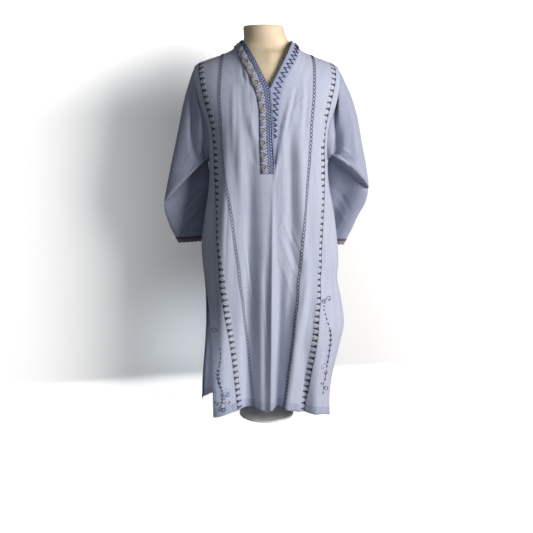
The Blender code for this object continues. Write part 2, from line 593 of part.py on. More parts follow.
def sleeve_rings(side, table):
    rings = [armhole_ring(side)]
    count = len(rings[0])
    turn = np.arange(count) / count * 2 * math.pi
    for _, ix, iy, iz, ox, oy, oz, front, back in table:
        inner = np.array([side * ix, iy, iz])
        outer = np.array([side * ox, oy, oz])
        line = outer - inner
        facing = np.array([line[1], -line[0], 0.0]) * side
        facing /= np.linalg.norm(facing)
        swell = np.where(np.sin(turn) >= 0, front, back) * np.sin(turn)
        rings.append((inner + outer) / 2 - line / 2 * np.cos(turn)[:, None]
                     + facing * swell[:, None])
    return np.array(rings)


def tube_mesh(name, rings, side):
    mesh = sheet_mesh(name, np.swapaxes(rings, 0, 1), tube=True)
    if side > 0:
        turn_faces(mesh)
    return mesh


def lace_rings(sleeve):
    """The lace: a plain band below the cuff, then a scalloped edge."""
    last, before = sleeve[-1], sleeve[-2]
    fall = last.mean(axis=0) - before.mean(axis=0)
    fall /= np.linalg.norm(fall)
    closed = np.vstack([last, last[:1]])
    marks = np.linspace(0, 1, len(closed))
    steps = np.arange(SCALLOPS * SCALLOP_STEPS) / (SCALLOPS * SCALLOP_STEPS)
    edge = np.stack([np.interp(steps, marks, closed[:, k]) for k in range(3)], -1)
    bow = np.abs(np.sin(np.arange(len(steps)) * math.pi / SCALLOP_STEPS))
    drop = LACE_DEPTH + SCALLOP * bow
    return np.array([edge + fall * LACE_GAP, edge + fall * drop[:, None]])


for side, word, table in ((-1, "left", SLEEVE_LEFT), (1, "right", SLEEVE_RIGHT)):
    rings = sleeve_rings(side, table)
    name = f"sleeve_{word}"
    wall(add_object(name, tube_mesh(name, rings, side), looks["cotton"]), CLOTH)
    name = f"cuff_lace_{word}"
    wall(add_object(name, tube_mesh(name, lace_rings(rings), side), looks["lace"]), TRIM)

# ---------------------------------------------------------------- dress form and stand


def form_mesh():
    made = bmesh.new()
    turn = np.arange(FORM_SIDES) / FORM_SIDES * 2 * math.pi
    rings = []
    for z, half, front, back, power, lean in FORM:
        x = -lean + half * np.sign(np.cos(turn)) * np.abs(np.cos(turn)) ** (2 / power)
        depth = np.where(np.sin(turn) >= 0, back, front)
        y = depth * np.sign(np.sin(turn)) * np.abs(np.sin(turn)) ** (2 / power)
        rings.append([made.verts.new((a, b, z)) for a, b in zip(x, y)])
    for upper, lower in zip(rings, rings[1:]):
        for k in range(FORM_SIDES):
            j = (k + 1) % FORM_SIDES
            made.faces.new((lower[k], lower[j], upper[j], upper[k]))
    made.faces.new(rings[0])
    made.faces.new(rings[-1][::-1])
    mesh = bpy.data.meshes.new("form_torso")
    made.to_mesh(mesh)
    made.free()
    mesh.shade_smooth()
    return mesh


def cylinder(name, radius, bottom, top, looks_name, edge=0.0):
    bpy.ops.mesh.primitive_cylinder_add(vertices=ROUND_SIDES, radius=radius, depth=top - bottom,
                                        location=(0, 0, (top + bottom) / 2))
    piece = bpy.context.object
    piece.name = name
    piece.data.materials.append(looks[looks_name])
    for group in list(piece.users_collection):
        group.objects.unlink(piece)
    part_collection.objects.link(piece)
    if edge:
        round_edge = piece.modifiers.new("edge", "BEVEL")
        round_edge.width = edge
        round_edge.segments = 2


add_object("form_torso", form_mesh(), looks["form"])
cylinder("form_pole", POLE_RADIUS, PLATE + REST, FORM_BOTTOM - REST, "steel")
cylinder("form_base", PLATE_RADIUS, 0.0, PLATE, "steel", edge=PLATE_EDGE)
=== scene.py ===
import math

import bpy
import numpy as np
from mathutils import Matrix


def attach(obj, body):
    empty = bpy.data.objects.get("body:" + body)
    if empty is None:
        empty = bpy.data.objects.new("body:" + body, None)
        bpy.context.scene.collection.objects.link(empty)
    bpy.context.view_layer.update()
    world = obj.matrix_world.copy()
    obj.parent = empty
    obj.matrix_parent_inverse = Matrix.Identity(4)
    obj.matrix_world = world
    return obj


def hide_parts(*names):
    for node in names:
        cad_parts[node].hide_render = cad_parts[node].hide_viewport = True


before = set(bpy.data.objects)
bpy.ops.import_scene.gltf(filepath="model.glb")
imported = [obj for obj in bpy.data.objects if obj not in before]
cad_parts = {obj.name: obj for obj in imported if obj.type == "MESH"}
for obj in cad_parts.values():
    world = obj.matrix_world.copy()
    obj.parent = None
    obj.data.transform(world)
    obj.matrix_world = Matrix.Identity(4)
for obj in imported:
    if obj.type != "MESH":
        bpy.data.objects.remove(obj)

bpy.ops.object.select_all(action="DESELECT")
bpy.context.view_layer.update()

# ---------------------------------------------------------------- dress form
# A limbless form: a hard padded shell under a smooth cream jersey, sewn from shaped gores.
# Only its neck stands out of the kurta.  It is lofted through rings, and its flat top is rolled
# over at the edge.


def metres(values, shares=0):
    """A table written in millimetres, in metres; the last few of each row may be shares instead."""
    table = np.array(list(values.values()) if isinstance(values, dict) else values, float)
    table[..., :table.shape[-1] - shares] /= 1000
    return table


# dress form: height, half width, front, back, lean of the neck towards -X, squareness
FORM = metres(((1109, 54, 51, 51, 9, 2), (1090, 56, 52, 52, 6, 2), (1074, 60, 53, 52, 2, 2),
               (1060, 70.2, 52, 50, 0, 1.85), (1047.6, 86, 56, 53, 0, 1.75),
               (1033, 115, 72, 64, 0, 1.5), (1018.6, 150, 80, 70, 0, 1.38),
               (1000, 166, 89, 76, 0, 1.5), (960, 166, 100, 84, 0, 1.75),
               (900, 159, 108, 90, 0, 2), (830, 149, 112, 91, 0, 2.1), (760, 140, 107, 88, 0, 2.1),
               (670, 120, 90, 78, 0, 2), (580, 128, 84, 76, 0, 2), (490, 146, 82, 76, 0, 2.1),
               (410, 149, 80, 75, 0, 2.1), (372, 138, 72, 69, 0, 2.1), (360, 115, 56, 54, 0, 2)),
              shares=1)
FORM_SIDES = 112
FORM_RINGS = 150
NECK_ROLL = 0.0035        # radius of the edge round the flat top of the neck
SAME_PLACE = 0.00002      # points closer than this are one
WALES, COURSES = 5200.0, 7400.0        # turns per metre of the jersey's stitches, round and up


def srgb(red, green, blue):
    """A finish's colour, from the 0 to 255 values of a colour chart to linear values."""
    parts = np.array([red, green, blue]) / 255
    linear = np.where(parts <= 0.04045, parts / 12.92, ((parts + 0.055) / 1.055) ** 2.4)
    return tuple(float(v) for v in linear)


def through(at, knots, values):
    """A smooth curve through the rows of a table, flat past its ends."""
    knots, values = np.asarray(knots, float), np.asarray(values, float)
    at = np.clip(np.asarray(at, float), knots[0], knots[-1])
    slopes = np.gradient(values, knots)
    low = np.clip(np.searchsorted(knots, at, side="right") - 1, 0, len(knots) - 2)
    span = knots[low + 1] - knots[low]
    t = (at - knots[low]) / span
    return ((1 + 2 * t) * (1 - t) ** 2 * values[low] + t ** 2 * (3 - 2 * t) * values[low + 1]
            + t * (1 - t) ** 2 * span * slopes[low] - t ** 2 * (1 - t) * span * slopes[low + 1])


def look_up(table, at, number=1):
    """One column of a table, as a smooth curve over its first column."""
    return through(at, table[:, 0], table[:, number])


def add_piece(name, points, faces, materials, face_materials=None, uv_maps=None):
    """A mesh piece from points, faces and one UV value for each corner of each face."""
    mesh = bpy.data.meshes.new(name)
    faces = faces.tolist() if isinstance(faces, np.ndarray) else faces
    mesh.from_pydata(np.asarray(points).reshape(-1, 3).tolist(), [], faces)
    for looks in materials:
        mesh.materials.append(looks)
    if face_materials is not None:
        mesh.polygons.foreach_set("material_index", face_materials)
    for title, values in (uv_maps or {}).items():
        mesh.uv_layers.new(name=title).data.foreach_set("uv", np.asarray(values, float).ravel())
    mesh.shade_smooth()
    piece = bpy.data.objects.new(name, mesh)
    bpy.context.scene.collection.objects.link(piece)
    return piece


def edit(piece, work):
    """Does some work in edit mode on the whole of one piece."""
    bpy.ops.object.select_all(action="DESELECT")
    piece.select_set(True)
    bpy.context.view_layer.objects.active = piece
    bpy.ops.object.mode_set(mode="EDIT")
    bpy.ops.mesh.select_all(action="SELECT")
    work()
    bpy.ops.object.mode_set(mode="OBJECT")


def weld(piece):
    """Merges the points that a grid's closing column or a parted column holds twice."""
    edit(piece, lambda: bpy.ops.mesh.remove_doubles(threshold=SAME_PLACE))


def grid_faces(columns, rows, skip=()):
    """The squares between neighbouring columns and rows of a grid of points."""
    across = np.array([i for i in range(columns - 1) if i not in skip])
    a = (across[:, None] * rows + np.arange(rows - 1)).ravel()
    return np.stack([a, a + rows, a + rows + 1, a + 1], -1)


class Nodes:
    """Short words for building a node tree."""

    def __init__(self, tree):
        self.tree = tree

    def add(self, kind, inputs=None, **settings):
        """A node with its settings, and a value or a socket for each input that is named."""
        node = self.tree.nodes.new(kind)
        for name, value in settings.items():
            setattr(node, name, value)
        for name, value in (inputs or {}).items():
            self.feed(node.inputs[name], value)
        return node

    def feed(self, socket, value):
        if isinstance(value, bpy.types.NodeSocket):
            self.tree.links.new(value, socket)
        else:
            socket.default_value = value

    def math(self, operation, *values):
        return self.add("ShaderNodeMath", dict(enumerate(values)), operation=operation).outputs[0]

    def times(self, first, second):
        return self.math("MULTIPLY", first, second)

    def ramp(self, value, low, high, to_low=0.0, to_high=1.0):
        given = {"Value": value, "From Min": low, "From Max": high,
                 "To Min": to_low, "To Max": to_high}
        return self.add("ShaderNodeMapRange", given, interpolation_type="SMOOTHSTEP").outputs[0]

    def mix(self, factor, *colours):
        first, second = [(*value, 1.0) if isinstance(value, tuple) else value for value in colours]
        given = {0: factor, 6: first, 7: second}
        return self.add("ShaderNodeMix", given, data_type="RGBA").outputs[2]

    def noise(self, vector, stretch, scale, detail):
        mapped = self.add("ShaderNodeMapping", {"Vector": vector, "Scale": stretch}).outputs[0]
        given = {"Vector": mapped, "Scale": scale, "Detail": detail}
        return self.add("ShaderNodeTexNoise", given).outputs[0]

    def bump(self, height, strength, distance, normal=None):
        given = {"Height": height, "Strength": strength, "Distance": distance}
        if normal is not None:
            given["Normal"] = normal
        return self.add("ShaderNodeBump", given).outputs[0]

    def group(self, tree, **values):
        return self.add("ShaderNodeGroup", values, node_tree=tree).outputs

    def uv(self, name):
        return self.add("ShaderNodeUVMap", uv_map=name).outputs[0]

    def place(self):
        return self.add("ShaderNodeTexCoord").outputs["Object"]

    def parts(self, vector):
        return self.add("ShaderNodeSeparateXYZ", {0: vector}).outputs[:3]


def new_group(name, inputs, outputs):
    """An empty node group; an input is a number with its first value, or a vector without one."""
    tree = bpy.data.node_groups.new(name, "ShaderNodeTree")
    for title, value in inputs.items():
        kind = "NodeSocketVector" if value is None else "NodeSocketFloat"
        socket = tree.interface.new_socket(title, in_out="INPUT", socket_type=kind)
        if value is not None:
            socket.default_value = value
    for title in outputs:
        tree.interface.new_socket(title, in_out="OUTPUT", socket_type="NodeSocketFloat")
    made = Nodes(tree)
    return made, made.add("NodeGroupInput").outputs, made.add("NodeGroupOutput").inputs


def new_finish(name, roughness, sheen=0.0):
    """A material whose constant values sit on its own shader."""
    made = bpy.data.materials.new(name)
    made.use_nodes = True
    shader = made.node_tree.nodes["Principled BSDF"]
    shader.inputs["Roughness"].default_value = roughness
    shader.inputs["Sheen Weight"].default_value = sheen
    return made, Nodes(made.node_tree), shader.inputs


def knit_group():
    """Fine jersey: rows of small stitches, as a height and a tone, on coordinates in metres."""
    n, given, out = new_group("knit", {"Vector": None}, ("Height", "Tone"))
    x, y, z = n.parts(given["Vector"])
    wales = n.math("SINE", n.times(n.math("ADD", x, y), WALES))
    courses = n.math("SINE", n.times(z, COURSES))
    n.feed(out["Height"], n.times(wales, courses))
    n.feed(out["Tone"], n.noise(given["Vector"], (1.0, 1.0, 0.6), 22.0, 3.0))
    return n.tree


knit = knit_group()


def form_finish():
    made, n, shader = new_finish("cream jersey", 0.62, sheen=0.12)
    fine = n.group(knit, Vector=n.place())
    tone = n.mix(n.ramp(fine["Tone"], 0.3, 0.7), srgb(222, 200, 166), srgb(236, 217, 187))
    n.feed(shader["Base Color"], tone)
    n.feed(shader["Normal"], n.bump(fine["Height"], 0.25, 0.0003))
    return made


def form_points():
    """Rings from the base of the form up to its neck, then over the rolled edge to the flat top."""
    rings = FORM[::-1]
    low, top = rings[0, 0], rings[-1, 0]
    z = np.linspace(low, top - NECK_ROLL, FORM_RINGS)
    roll = np.linspace(0, math.pi / 2, 5)[1:]
    z = np.append(z, top - NECK_ROLL + NECK_ROLL * np.sin(roll))
    drawn_in = np.append(np.zeros(FORM_RINGS), NECK_ROLL * (1 - np.cos(roll)))
    half, front, back, lean, power = [look_up(rings, z, number) for number in range(1, 6)]
    turn = np.arange(FORM_SIDES + 1)[:, None] / FORM_SIDES * 2 * math.pi
    reach, depth = np.cos(turn), np.sin(turn)
    x = -lean + (half - drawn_in) * np.sign(reach) * np.abs(reach) ** (2 / power)
    side = np.where(depth >= 0, back, front) - drawn_in
    y = side * np.sign(depth) * np.abs(depth) ** (2 / power)
    return np.stack([x, y, np.broadcast_to(z, x.shape)], -1)


def build_form():
    points = form_points()
    piece = add_piece("form_cover", points, grid_faces(*points.shape[:2]), [form_finish()])
    weld(piece)

    def close_ends():
        bpy.ops.mesh.select_all(action="DESELECT")
        bpy.ops.mesh.select_non_manifold()
        bpy.ops.mesh.edge_face_add()

    edit(piece, close_ends)
    return piece


form_cover = build_form()
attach(form_cover, "root")
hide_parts("form_torso")

# ---------------------------------------------------------------- pole and base
# A steel tube on a round plate, both sprayed satin white; they keep the frame's own shapes.


def paint_finish():
    made, n, shader = new_finish("satin white paint", 0.38)
    place = n.place()
    peel = n.noise(place, (1.0, 1.0, 1.0), 900.0, 1.0)
    wear = n.ramp(n.noise(place, (1.0, 1.0, 1.0), 35.0, 4.0), 0.35, 0.7)
    n.feed(shader["Base Color"], n.mix(wear, srgb(226, 226, 224), srgb(238, 238, 236)))
    n.feed(shader["Normal"], n.bump(peel, 0.15, 0.0002))
    return made


white_paint = paint_finish()
for node_name in ("form_pole", "form_base"):
    stand_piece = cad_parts[node_name]
    stand_piece.data.materials.clear()
    stand_piece.data.materials.append(white_paint)

# ---------------------------------------------------------------- front panel
# The front is one width of light chambray, parted at the V neck, hanging in folds from the bust.
# Its hem is turned up and its slit edges are faced; the columns of its grid run along the trims.

CLOTH = 0.0009            # plain chambray
SEAM = 0.0003             # between two panels at a seam
CHEST = 0.80              # height above which the body rounds over to the shoulder seam
ROUND = 0.24              # length of that rounding in the chart of the body
TOP = CHEST + ROUND       # chart height of the shoulder seam
ARMPIT = 0.745            # height of the underarm point
SIDE_POWER = 2.8          # squareness of the body's rings
SHOULDER_POWER = 2.2      # squareness of the rounding to the shoulder
SLIT_TOP = 0.42           # where the side seams end and the slits begin
V_POINT = (-0.0065, 0.942)        # bottom of the V neck
NECK_POINT = 0.066                # neck edge on the shoulder seam, each way
SHOULDER_TIP = 0.193              # armhole on the shoulder seam, each way
PLACKET_END = 0.720               # lower end of the placket

# shoulder seam: distance from the middle, height
SHOULDER = metres(((0, 1100), (30, 1093), (66, 1071), (90, 1049), (120, 1034), (160, 1020),
                   (187, 1008.5), (200, 999), (220, 976)))

# both side seams, above the slits: height, left x, right x
SIDES = metres(((420, -178, 202.5), (460, -182, 205), (520, -184, 201), (600, -172.5, 190),
                (700, -160, 171), (745, -160, 168), (790, -163, 166), (820, -169, 170),
                (870, -191, 191), (930, -206, 206), (1040, -205, 205)))

# the free edges along the slits: height, left x, left y, right x, right y
FRONT_SLIT = metres(((12, -163, -86, 178.5, -60), (75, -163, -82, 178, -52),
                     (137, -163.5, -76, 187, -43), (218, -164, -64, 207, -31),
                     (280, -165, -50, 221.5, -20), (350, -170, -22, 214.5, -8)))

# how far the panels stand before and behind the side seams: height, front, back
DEPTHS = metres(((12, 118, 104), (200, 114, 102), (400, 111, 102), (550, 113, 99), (700, 122, 98),
                 (800, 128, 104), (900, 128, 108), (1040, 127, 108)))

# lines of the front panel, as x at each height; the columns of its wall run along them
LINE_HEIGHTS = metres((30, 100, 200, 300, 400, 500, 600, 720, 820, 900, 960, 1000))
LINES = {
    "border out left": (-94, -101, -110, -122, -134, -141, -146, -150, -154, -172, -184, -186),
    "border in left": (-76, -83, -92, -104, -116, -123, -129, -136, -141, -157, -168, -169),
    "chain out left": (-47, -54.5, -65.5, -76.5, -87, -98, -108.5, -123, -133, -139, -137, -131),
    "chain in left": (-39, -46.5, -57.5, -68.5, -79, -90, -100.5, -115, -125, -131, -129, -123),
    "placket left": (-25, -26.5, -28, -29, -30, -30, -29.5, -29.7, -34, -36.5, -54, -72),
    "opening": (4, 4, 4, 4, 4, 4, 4.5, 6.3, 1, -3.5, -6.5, -6.5),
    "band right": (14, 16, 20, 23, 25, 26, 22, 12.5, 19, 23, 38, 62),
    "chain in right": (29, 37, 49, 60, 70, 79, 86, 95, 101.5, 108, 113, 116.5),
    "chain out right": (37, 45, 57, 68, 78, 87, 94, 103, 109.5, 116, 121, 124.5),
    "border in right": (82, 89, 104, 115, 121, 124, 127, 133, 133, 147, 163, 167.5),
    "border out right": (100, 108, 123, 134, 140, 143, 147, 151, 150, 165, 181, 185.5),
}
LINES = {name: metres(row) for name, row in LINES.items()}
# where each line ends on the shoulder seam; the opening parts along the V neck instead
LINE_TOPS = dict(zip(LINES, (-187, -169, -124, -116, -88, None, 88.5, 119, 127, 169, 187)))
LINE_CELLS = (14, 7, 14, 4, 20, 16, 10, 20, 4, 14, 7, 14)     # columns of faces between the lines
SKIRT_ROWS = 150          # rows of points from the hem to the end of the placket
PLACKET_ROWS = 6          # rows of faces from there to the underarm
ARM_ROWS = 72             # rows of faces beside the armhole
ARM_CROWD = 1.25          # how much closer those rows lie towards the shoulder
CURVE_POINTS = 200        # points of a neckline before it is divided evenly
FINE_POINTS = 400         # points of any edge before it is divided evenly
LINE_END = 0.012          # a line's table stops at least this far below its top
HEM_LEVEL = 0.03          # height at which a column's place on the hem is read
V_ROWS = 30               # of the rows beside the armhole, those below the V point
UNDERARM_ROW = SKIRT_ROWS - 1 + PLACKET_ROWS
STEP = 0.002              # to either side of a point, to read which way the surface faces there
SIDE_SHARE = 0.7          # how much of the side's depth counts as length round the body

# armhole in the chart of the body, from the underarm point up: height, across
ARMHOLE = metres(((745, 1), (780, 0.92), (820, 0.86), (870, 0.815), (930, 0.78)),
                 shares=1)

# hem of the front panel: x, height
HEM = metres(((-163, 26), (-144, 18), (-115, 44), (-67, 62), (-46, 60), (-13.5, 54), (4, 57),
              (13.4, 63), (50, 49), (108, 37), (166, 16), (178.5, 12)))

# folds: place round the body and height of the upper end, the same of the lower end, depth above
# and below (outward is positive), half width above and below, shares that fade in and out
FOLDS = {"front": metres({
    "centre ridge": (3, 700, -3, 20, 3, 15, 10, 11, 0.3, 0),
    "shoulder of the ridge": (-20, 700, -24, 20, 2, 9, 15, 18, 0.3, 0),
    "valley left of the ridge": (-60, 900, -64, 20, -6, -22, 19, 24, 0.3, 0),
    "left crest": (-132, 900, -160, 20, 7, 17, 22, 31, 0.25, 0),
    "valley right of the ridge": (28, 540, 16, 20, -3, -10, 12, 12, 0.4, 0),
    "right bust valley": (45, 900, 60, 400, -6, -8, 12, 14, 0.3, 0.4),
    "right bust crest": (74, 900, 94, 400, 6, 9, 14, 16, 0.3, 0.4),
    "right crest": (112, 500, 34, 20, 5, 13, 18, 18, 0.3, 0),
    "right hollow": (94, 340, 102, 20, -3, -15, 15, 18, 0.4, 0),
    "right border ridge": (136, 500, 140, 20, 3, 10, 16, 18, 0.4, 0),
    "left border tuck": (-200, 680, -172, 260, -9, -9, 12, 13, 0.3, 0.4),
    "left corner": (-196, 300, -188, 20, 3, 10, 18, 18, 0.4, 0),
    "right border tuck": (206, 640, 196, 160, -9, -9, 12, 13, 0.3, 0.5),
    "drag from the neck": (50, 920, 14, 720, 5, 6, 12, 12, 0.4, 0.4),
    "hollow beside the drag": (26, 890, 0, 680, -3, -4, 13, 14, 0.4, 0.4),
    "bust fold left": (-94, 880, -88, 620, 4, 5, 12, 14, 0.35, 0.5),
}, shares=2)}

# small creases: place round the body and height of one end, the same of the other end,
# depth (outward is positive), half width, bow to the side
CREASES = {"front": metres({
    "pressed centre edge": (3, 700, -3, 20, 4.5, 3.6, 0),
    "edge beside it": (-24, 410, -10, 170, 1.4, 3, 1),
    "gather by the band, high": (-78, 1000, -66, 948, -4.1, 3.6, 1),
    "gather crest, high": (-70, 990, -58, 938, 3.7, 3.4, 1),
    "gather by the band, low": (-62, 972, -51, 924, -4.1, 3.4, 1),
    "gather crest, low": (-54, 952, -46, 906, 3.4, 3.2, 1),
    "pucker at the band": (-58, 880, -44, 800, 5.4, 6, 4),
    "pucker under it": (-56, 800, -44, 742, -2.9, 5, 3),
    "trough of the drag": (70, 950, 28, 790, -4.8, 5, 2),
    "crest of the drag": (58, 940, 18, 780, 4.9, 4, 2),
    "end of the drag": (22, 800, 6, 700, 3.6, 4, 1),
    "light crease": (44, 640, 13, 552, 1.6, 2, 0),
    "slant, first": (24, 610, 86, 480, 1.3, 3.8, 3),
    "slant, second": (20, 560, 80, 420, 1.4, 4, 3),
    "slant, third": (16, 510, 66, 370, 1.2, 4.2, 2),
    "slant, fourth": (52, 590, 104, 460, 1.3, 3.6, 2),
    "slant hollow": (34, 560, 94, 430, -1.2, 4, 2),
    "slack by the right chain": (106, 470, 78, 340, -1.8, 5, 2),
    "slack by the left chain": (-80, 560, -56, 380, 1.8, 3.4, 2),
    "trough by the left chain": (-70, 540, -50, 360, -1.6, 4, 2),
    "left panel, narrow": (-122, 700, -132, 420, -1.6, 5, 2),
    "left panel, upper": (-104, 960, -110, 760, 2.4, 6, 3),
    "left breast, soft": (-82, 960, -78, 820, -2.2, 6, 2),
    "right breast, soft": (88, 980, 78, 830, 2.7, 6, -3),
    "right breast, hollow": (102, 960, 86, 790, -2.2, 6, -3),
    "right side, slant": (168, 560, 190, 380, 1.8, 5, 2),
    "right side, hollow": (150, 540, 176, 350, -1.6, 5, 2),
    "under the right arm": (128, 760, 150, 640, 1.6, 4.4, 2),
    "under the left arm": (-150, 760, -146, 620, -1.8, 4.6, 2),
    "fold across the chain, crest": (108, 520, 74, 240, 5, 13, 0),
    "fold across the chain, trough": (70, 520, 44, 260, -4, 12, 0),
    "left slope, crest": (-122, 740, -126, 340, 4, 18, 0),
    "left slope, trough": (-78, 420, -76, 30, -4, 14, 0),
    "slope left of the middle": (-16, 500, -20, 10, -5, 9, 0),
    "slope right of the middle": (28, 490, 22, 10, -8.5, 16, 0),
    "crest right of it": (72, 460, 56, 10, 6, 16, 0),
    "lower right, long": (110, 330, 86, 60, 1.8, 6, 2),
    "lower right, hollow": (128, 330, 104, 80, -1.4, 5.6, 2),
    "lower left, long": (-90, 330, -76, 80, -1.4, 6, 2),
})}

SEAMS = np.insert(SIDES, (2, 3), 0.0, axis=1)     # with y at both sides, as in the slits
EDGES = {"front": np.vstack([FRONT_SLIT, SEAMS])}
OUTWARD = {"front": -1.0, "back": 1.0}


def edges(panel, height):
    return [look_up(EDGES[panel], height, number) for number in (1, 2, 3, 4)]


def shoulder_height(x):
    return look_up(SHOULDER, np.abs(x))


def body_depth(panel, height):
    return look_up(DEPTHS, height, 1 if panel == "front" else 2)


def body(panel, across, height):
    """The smooth surface: across runs from -1 to 1 between the side seams, height up to TOP."""
    left, left_y, right, right_y = edges(panel, height)
    angle = np.clip(across, -1, 1) * math.pi / 2
    reach = np.sign(angle) * np.abs(np.sin(angle)) ** (2 / SIDE_POWER)
    crown = np.abs(np.cos(angle)) ** (2 / SIDE_POWER)
    x = (left + right) / 2 + (right - left) / 2 * reach
    rim = left_y + (right_y - left_y) * (reach + 1) / 2
    turn = np.clip((height - CHEST) / ROUND, 0, 1) * math.pi / 2
    rise = (shoulder_height(x) - CHEST) * np.sin(turn) ** (2 / SHOULDER_POWER)
    z = np.where(height < CHEST, height, CHEST + rise)
    out = OUTWARD[panel]
    lean = np.abs(np.cos(turn)) ** (2 / SHOULDER_POWER)
    y = rim + out * (body_depth(panel, height) - out * rim) * crown * lean + out * SEAM / 2
    return np.stack([x, y, z], -1)


def chart(panel, x, z):
    """Where the point of the surface seen at x and z lies: its across and height values."""
    x, z = np.asarray(x, float), np.asarray(z, float)
    share = np.clip((z - CHEST) / (shoulder_height(x) - CHEST), 0, 1)
    turn = np.arcsin(share ** (SHOULDER_POWER / 2))
    height = np.where(z < CHEST, z, CHEST + ROUND * turn / (math.pi / 2))
    left, _, right, _ = edges(panel, height)
    reach = np.clip((x - (left + right) / 2) / ((right - left) / 2), -1, 1)
    across = np.sign(reach) * np.arcsin(np.abs(reach) ** (SIDE_POWER / 2)) / (math.pi / 2)
    return across, height


def smooth_step(t):
    t = np.clip(t, 0, 1)
    return t * t * (3 - 2 * t)


def girth(panel, flat, across):
    """How far round the body from its middle a point lies, measured about along the cloth."""
    crown = np.abs(np.cos(np.clip(across, -1, 1) * math.pi / 2)) ** (2 / SIDE_POWER)
    x = flat[..., 0]
    return x + np.sign(x) * SIDE_SHARE * body_depth(panel, flat[..., 2]) * (1 - crown)


def fold_depth(panel, x, z):
    total = np.zeros_like(x)
    for x0, z0, x1, z1, deep0, deep1, wide0, wide1, fade_in, fade_out in FOLDS[panel]:
        t = (z0 - z) / (z0 - z1)
        strength = smooth_step(t / fade_in)
        if fade_out:
            strength = strength * smooth_step((1 - t) / fade_out)
        t = np.clip(t, 0, 1)
        middle, deep, wide = [upper + (lower - upper) * t for upper, lower in
                              ((x0, x1), (deep0, deep1), (wide0, wide1))]
        total = total + strength * deep * np.exp(-((x - middle) / wide) ** 2)
    return total


def crease_depth(creases, around, z):
    """Soft ridges and troughs along short bowed lines, strongest in the middle of each."""
    total = np.zeros_like(around)
    for x0, z0, x1, z1, deep, wide, bow in creases:
        run_x, run_z = x1 - x0, z1 - z0
        length = math.hypot(run_x, run_z)
        along = ((around - x0) * run_x + (z - z0) * run_z) / length ** 2
        swell = np.sin(math.pi * np.clip(along, 0, 1))
        aside = ((around - x0) * run_z - (z - z0) * run_x) / length - bow * swell
        total = total + deep * swell ** 0.7 * np.exp(-(aside / wide) ** 2)
    return total


def facing(shape, panel, across, height):
    """The directions that point out of one of the panel's surfaces."""
    along = (shape(panel, np.minimum(across + STEP, 1), height)
             - shape(panel, np.maximum(across - STEP, -1), height))
    up = shape(panel, across, np.minimum(height + STEP, TOP)) - shape(panel, across, height - STEP)
    out = np.cross(along, up) * -OUTWARD[panel]
    return out / np.linalg.norm(out, axis=-1, keepdims=True)


def cloth(panel, across, height):
    """The middle of the cloth: the smooth surface with its folds and its small creases."""
    flat = body(panel, across, height)
    where = girth(panel, flat, across), flat[..., 2]
    depth = fold_depth(panel, *where) + crease_depth(CREASES[panel], *where)
    return flat + facing(body, panel, across, height) * depth[..., None]


def surface(panel, across, height):
    """Points of the cloth and the directions that point out of it."""
    return cloth(panel, across, height), facing(cloth, panel, across, height)


def line_chart(name):
    """A line of the front panel as across values at chart heights, from the hem to its top."""
    across, height = chart("front", LINES[name], LINE_HEIGHTS)
    top = V_POINT
    if LINE_TOPS[name] is not None:
        x = LINE_TOPS[name] / 1000
        top = x, shoulder_height(x)
    top_across, top_height = chart("front", *top)
    keep = height < top_height - LINE_END
    return np.append(across[keep], top_across), np.append(height[keep], top_height)


def v_neckline(side):
    """One straight edge of the V neck seen from the front, from its point to the shoulder seam."""
    x = np.linspace(V_POINT[0], side * NECK_POINT, CURVE_POINTS)
    return x, np.linspace(V_POINT[1], float(shoulder_height(NECK_POINT)), CURVE_POINTS)


def evenly(panel, across, height, cells, crowd=1.0):
    """Points spread evenly along a line on the surface, or closer to its end with more crowd."""
    fine = np.linspace(0, 1, FINE_POINTS)
    marks = np.linspace(0, 1, len(across))
    fine_across, fine_height = through(fine, marks, across), through(fine, marks, height)
    path = body(panel, fine_across, fine_height)
    run = np.append(0, np.cumsum(np.linalg.norm(np.diff(path, axis=0), axis=1)))
    want = run[-1] * (1 - np.linspace(1, 0, cells + 1) ** crowd)
    return np.interp(want, run, fine_across), np.interp(want, run, fine_height)


def armhole(panel, side):
    """The armhole edge of one panel, from the underarm to the tip of the shoulder."""
    tip, _ = chart(panel, side * SHOULDER_TIP, shoulder_height(SHOULDER_TIP))
    across, height = np.append(side * ARMHOLE[:, 1], tip), np.append(ARMHOLE[:, 0], TOP)
    return evenly(panel, across, height, ARM_ROWS, ARM_CROWD)


def skirt_heights(hem):
    """Heights up a column of points, evenly from the hem to the placket and on to the underarm."""
    return np.append(np.linspace(hem, PLACKET_END, SKIRT_ROWS),
                     np.linspace(PLACKET_END, ARMPIT, PLACKET_ROWS + 1)[1:])


def heights_up(hem, top, arm_heights):
    """The same, and on from the underarm in step with the armhole."""
    arm = ARMPIT + (top - ARMPIT) * (arm_heights[1:] - ARMPIT) / (TOP - ARMPIT)
    return np.append(skirt_heights(hem), arm)


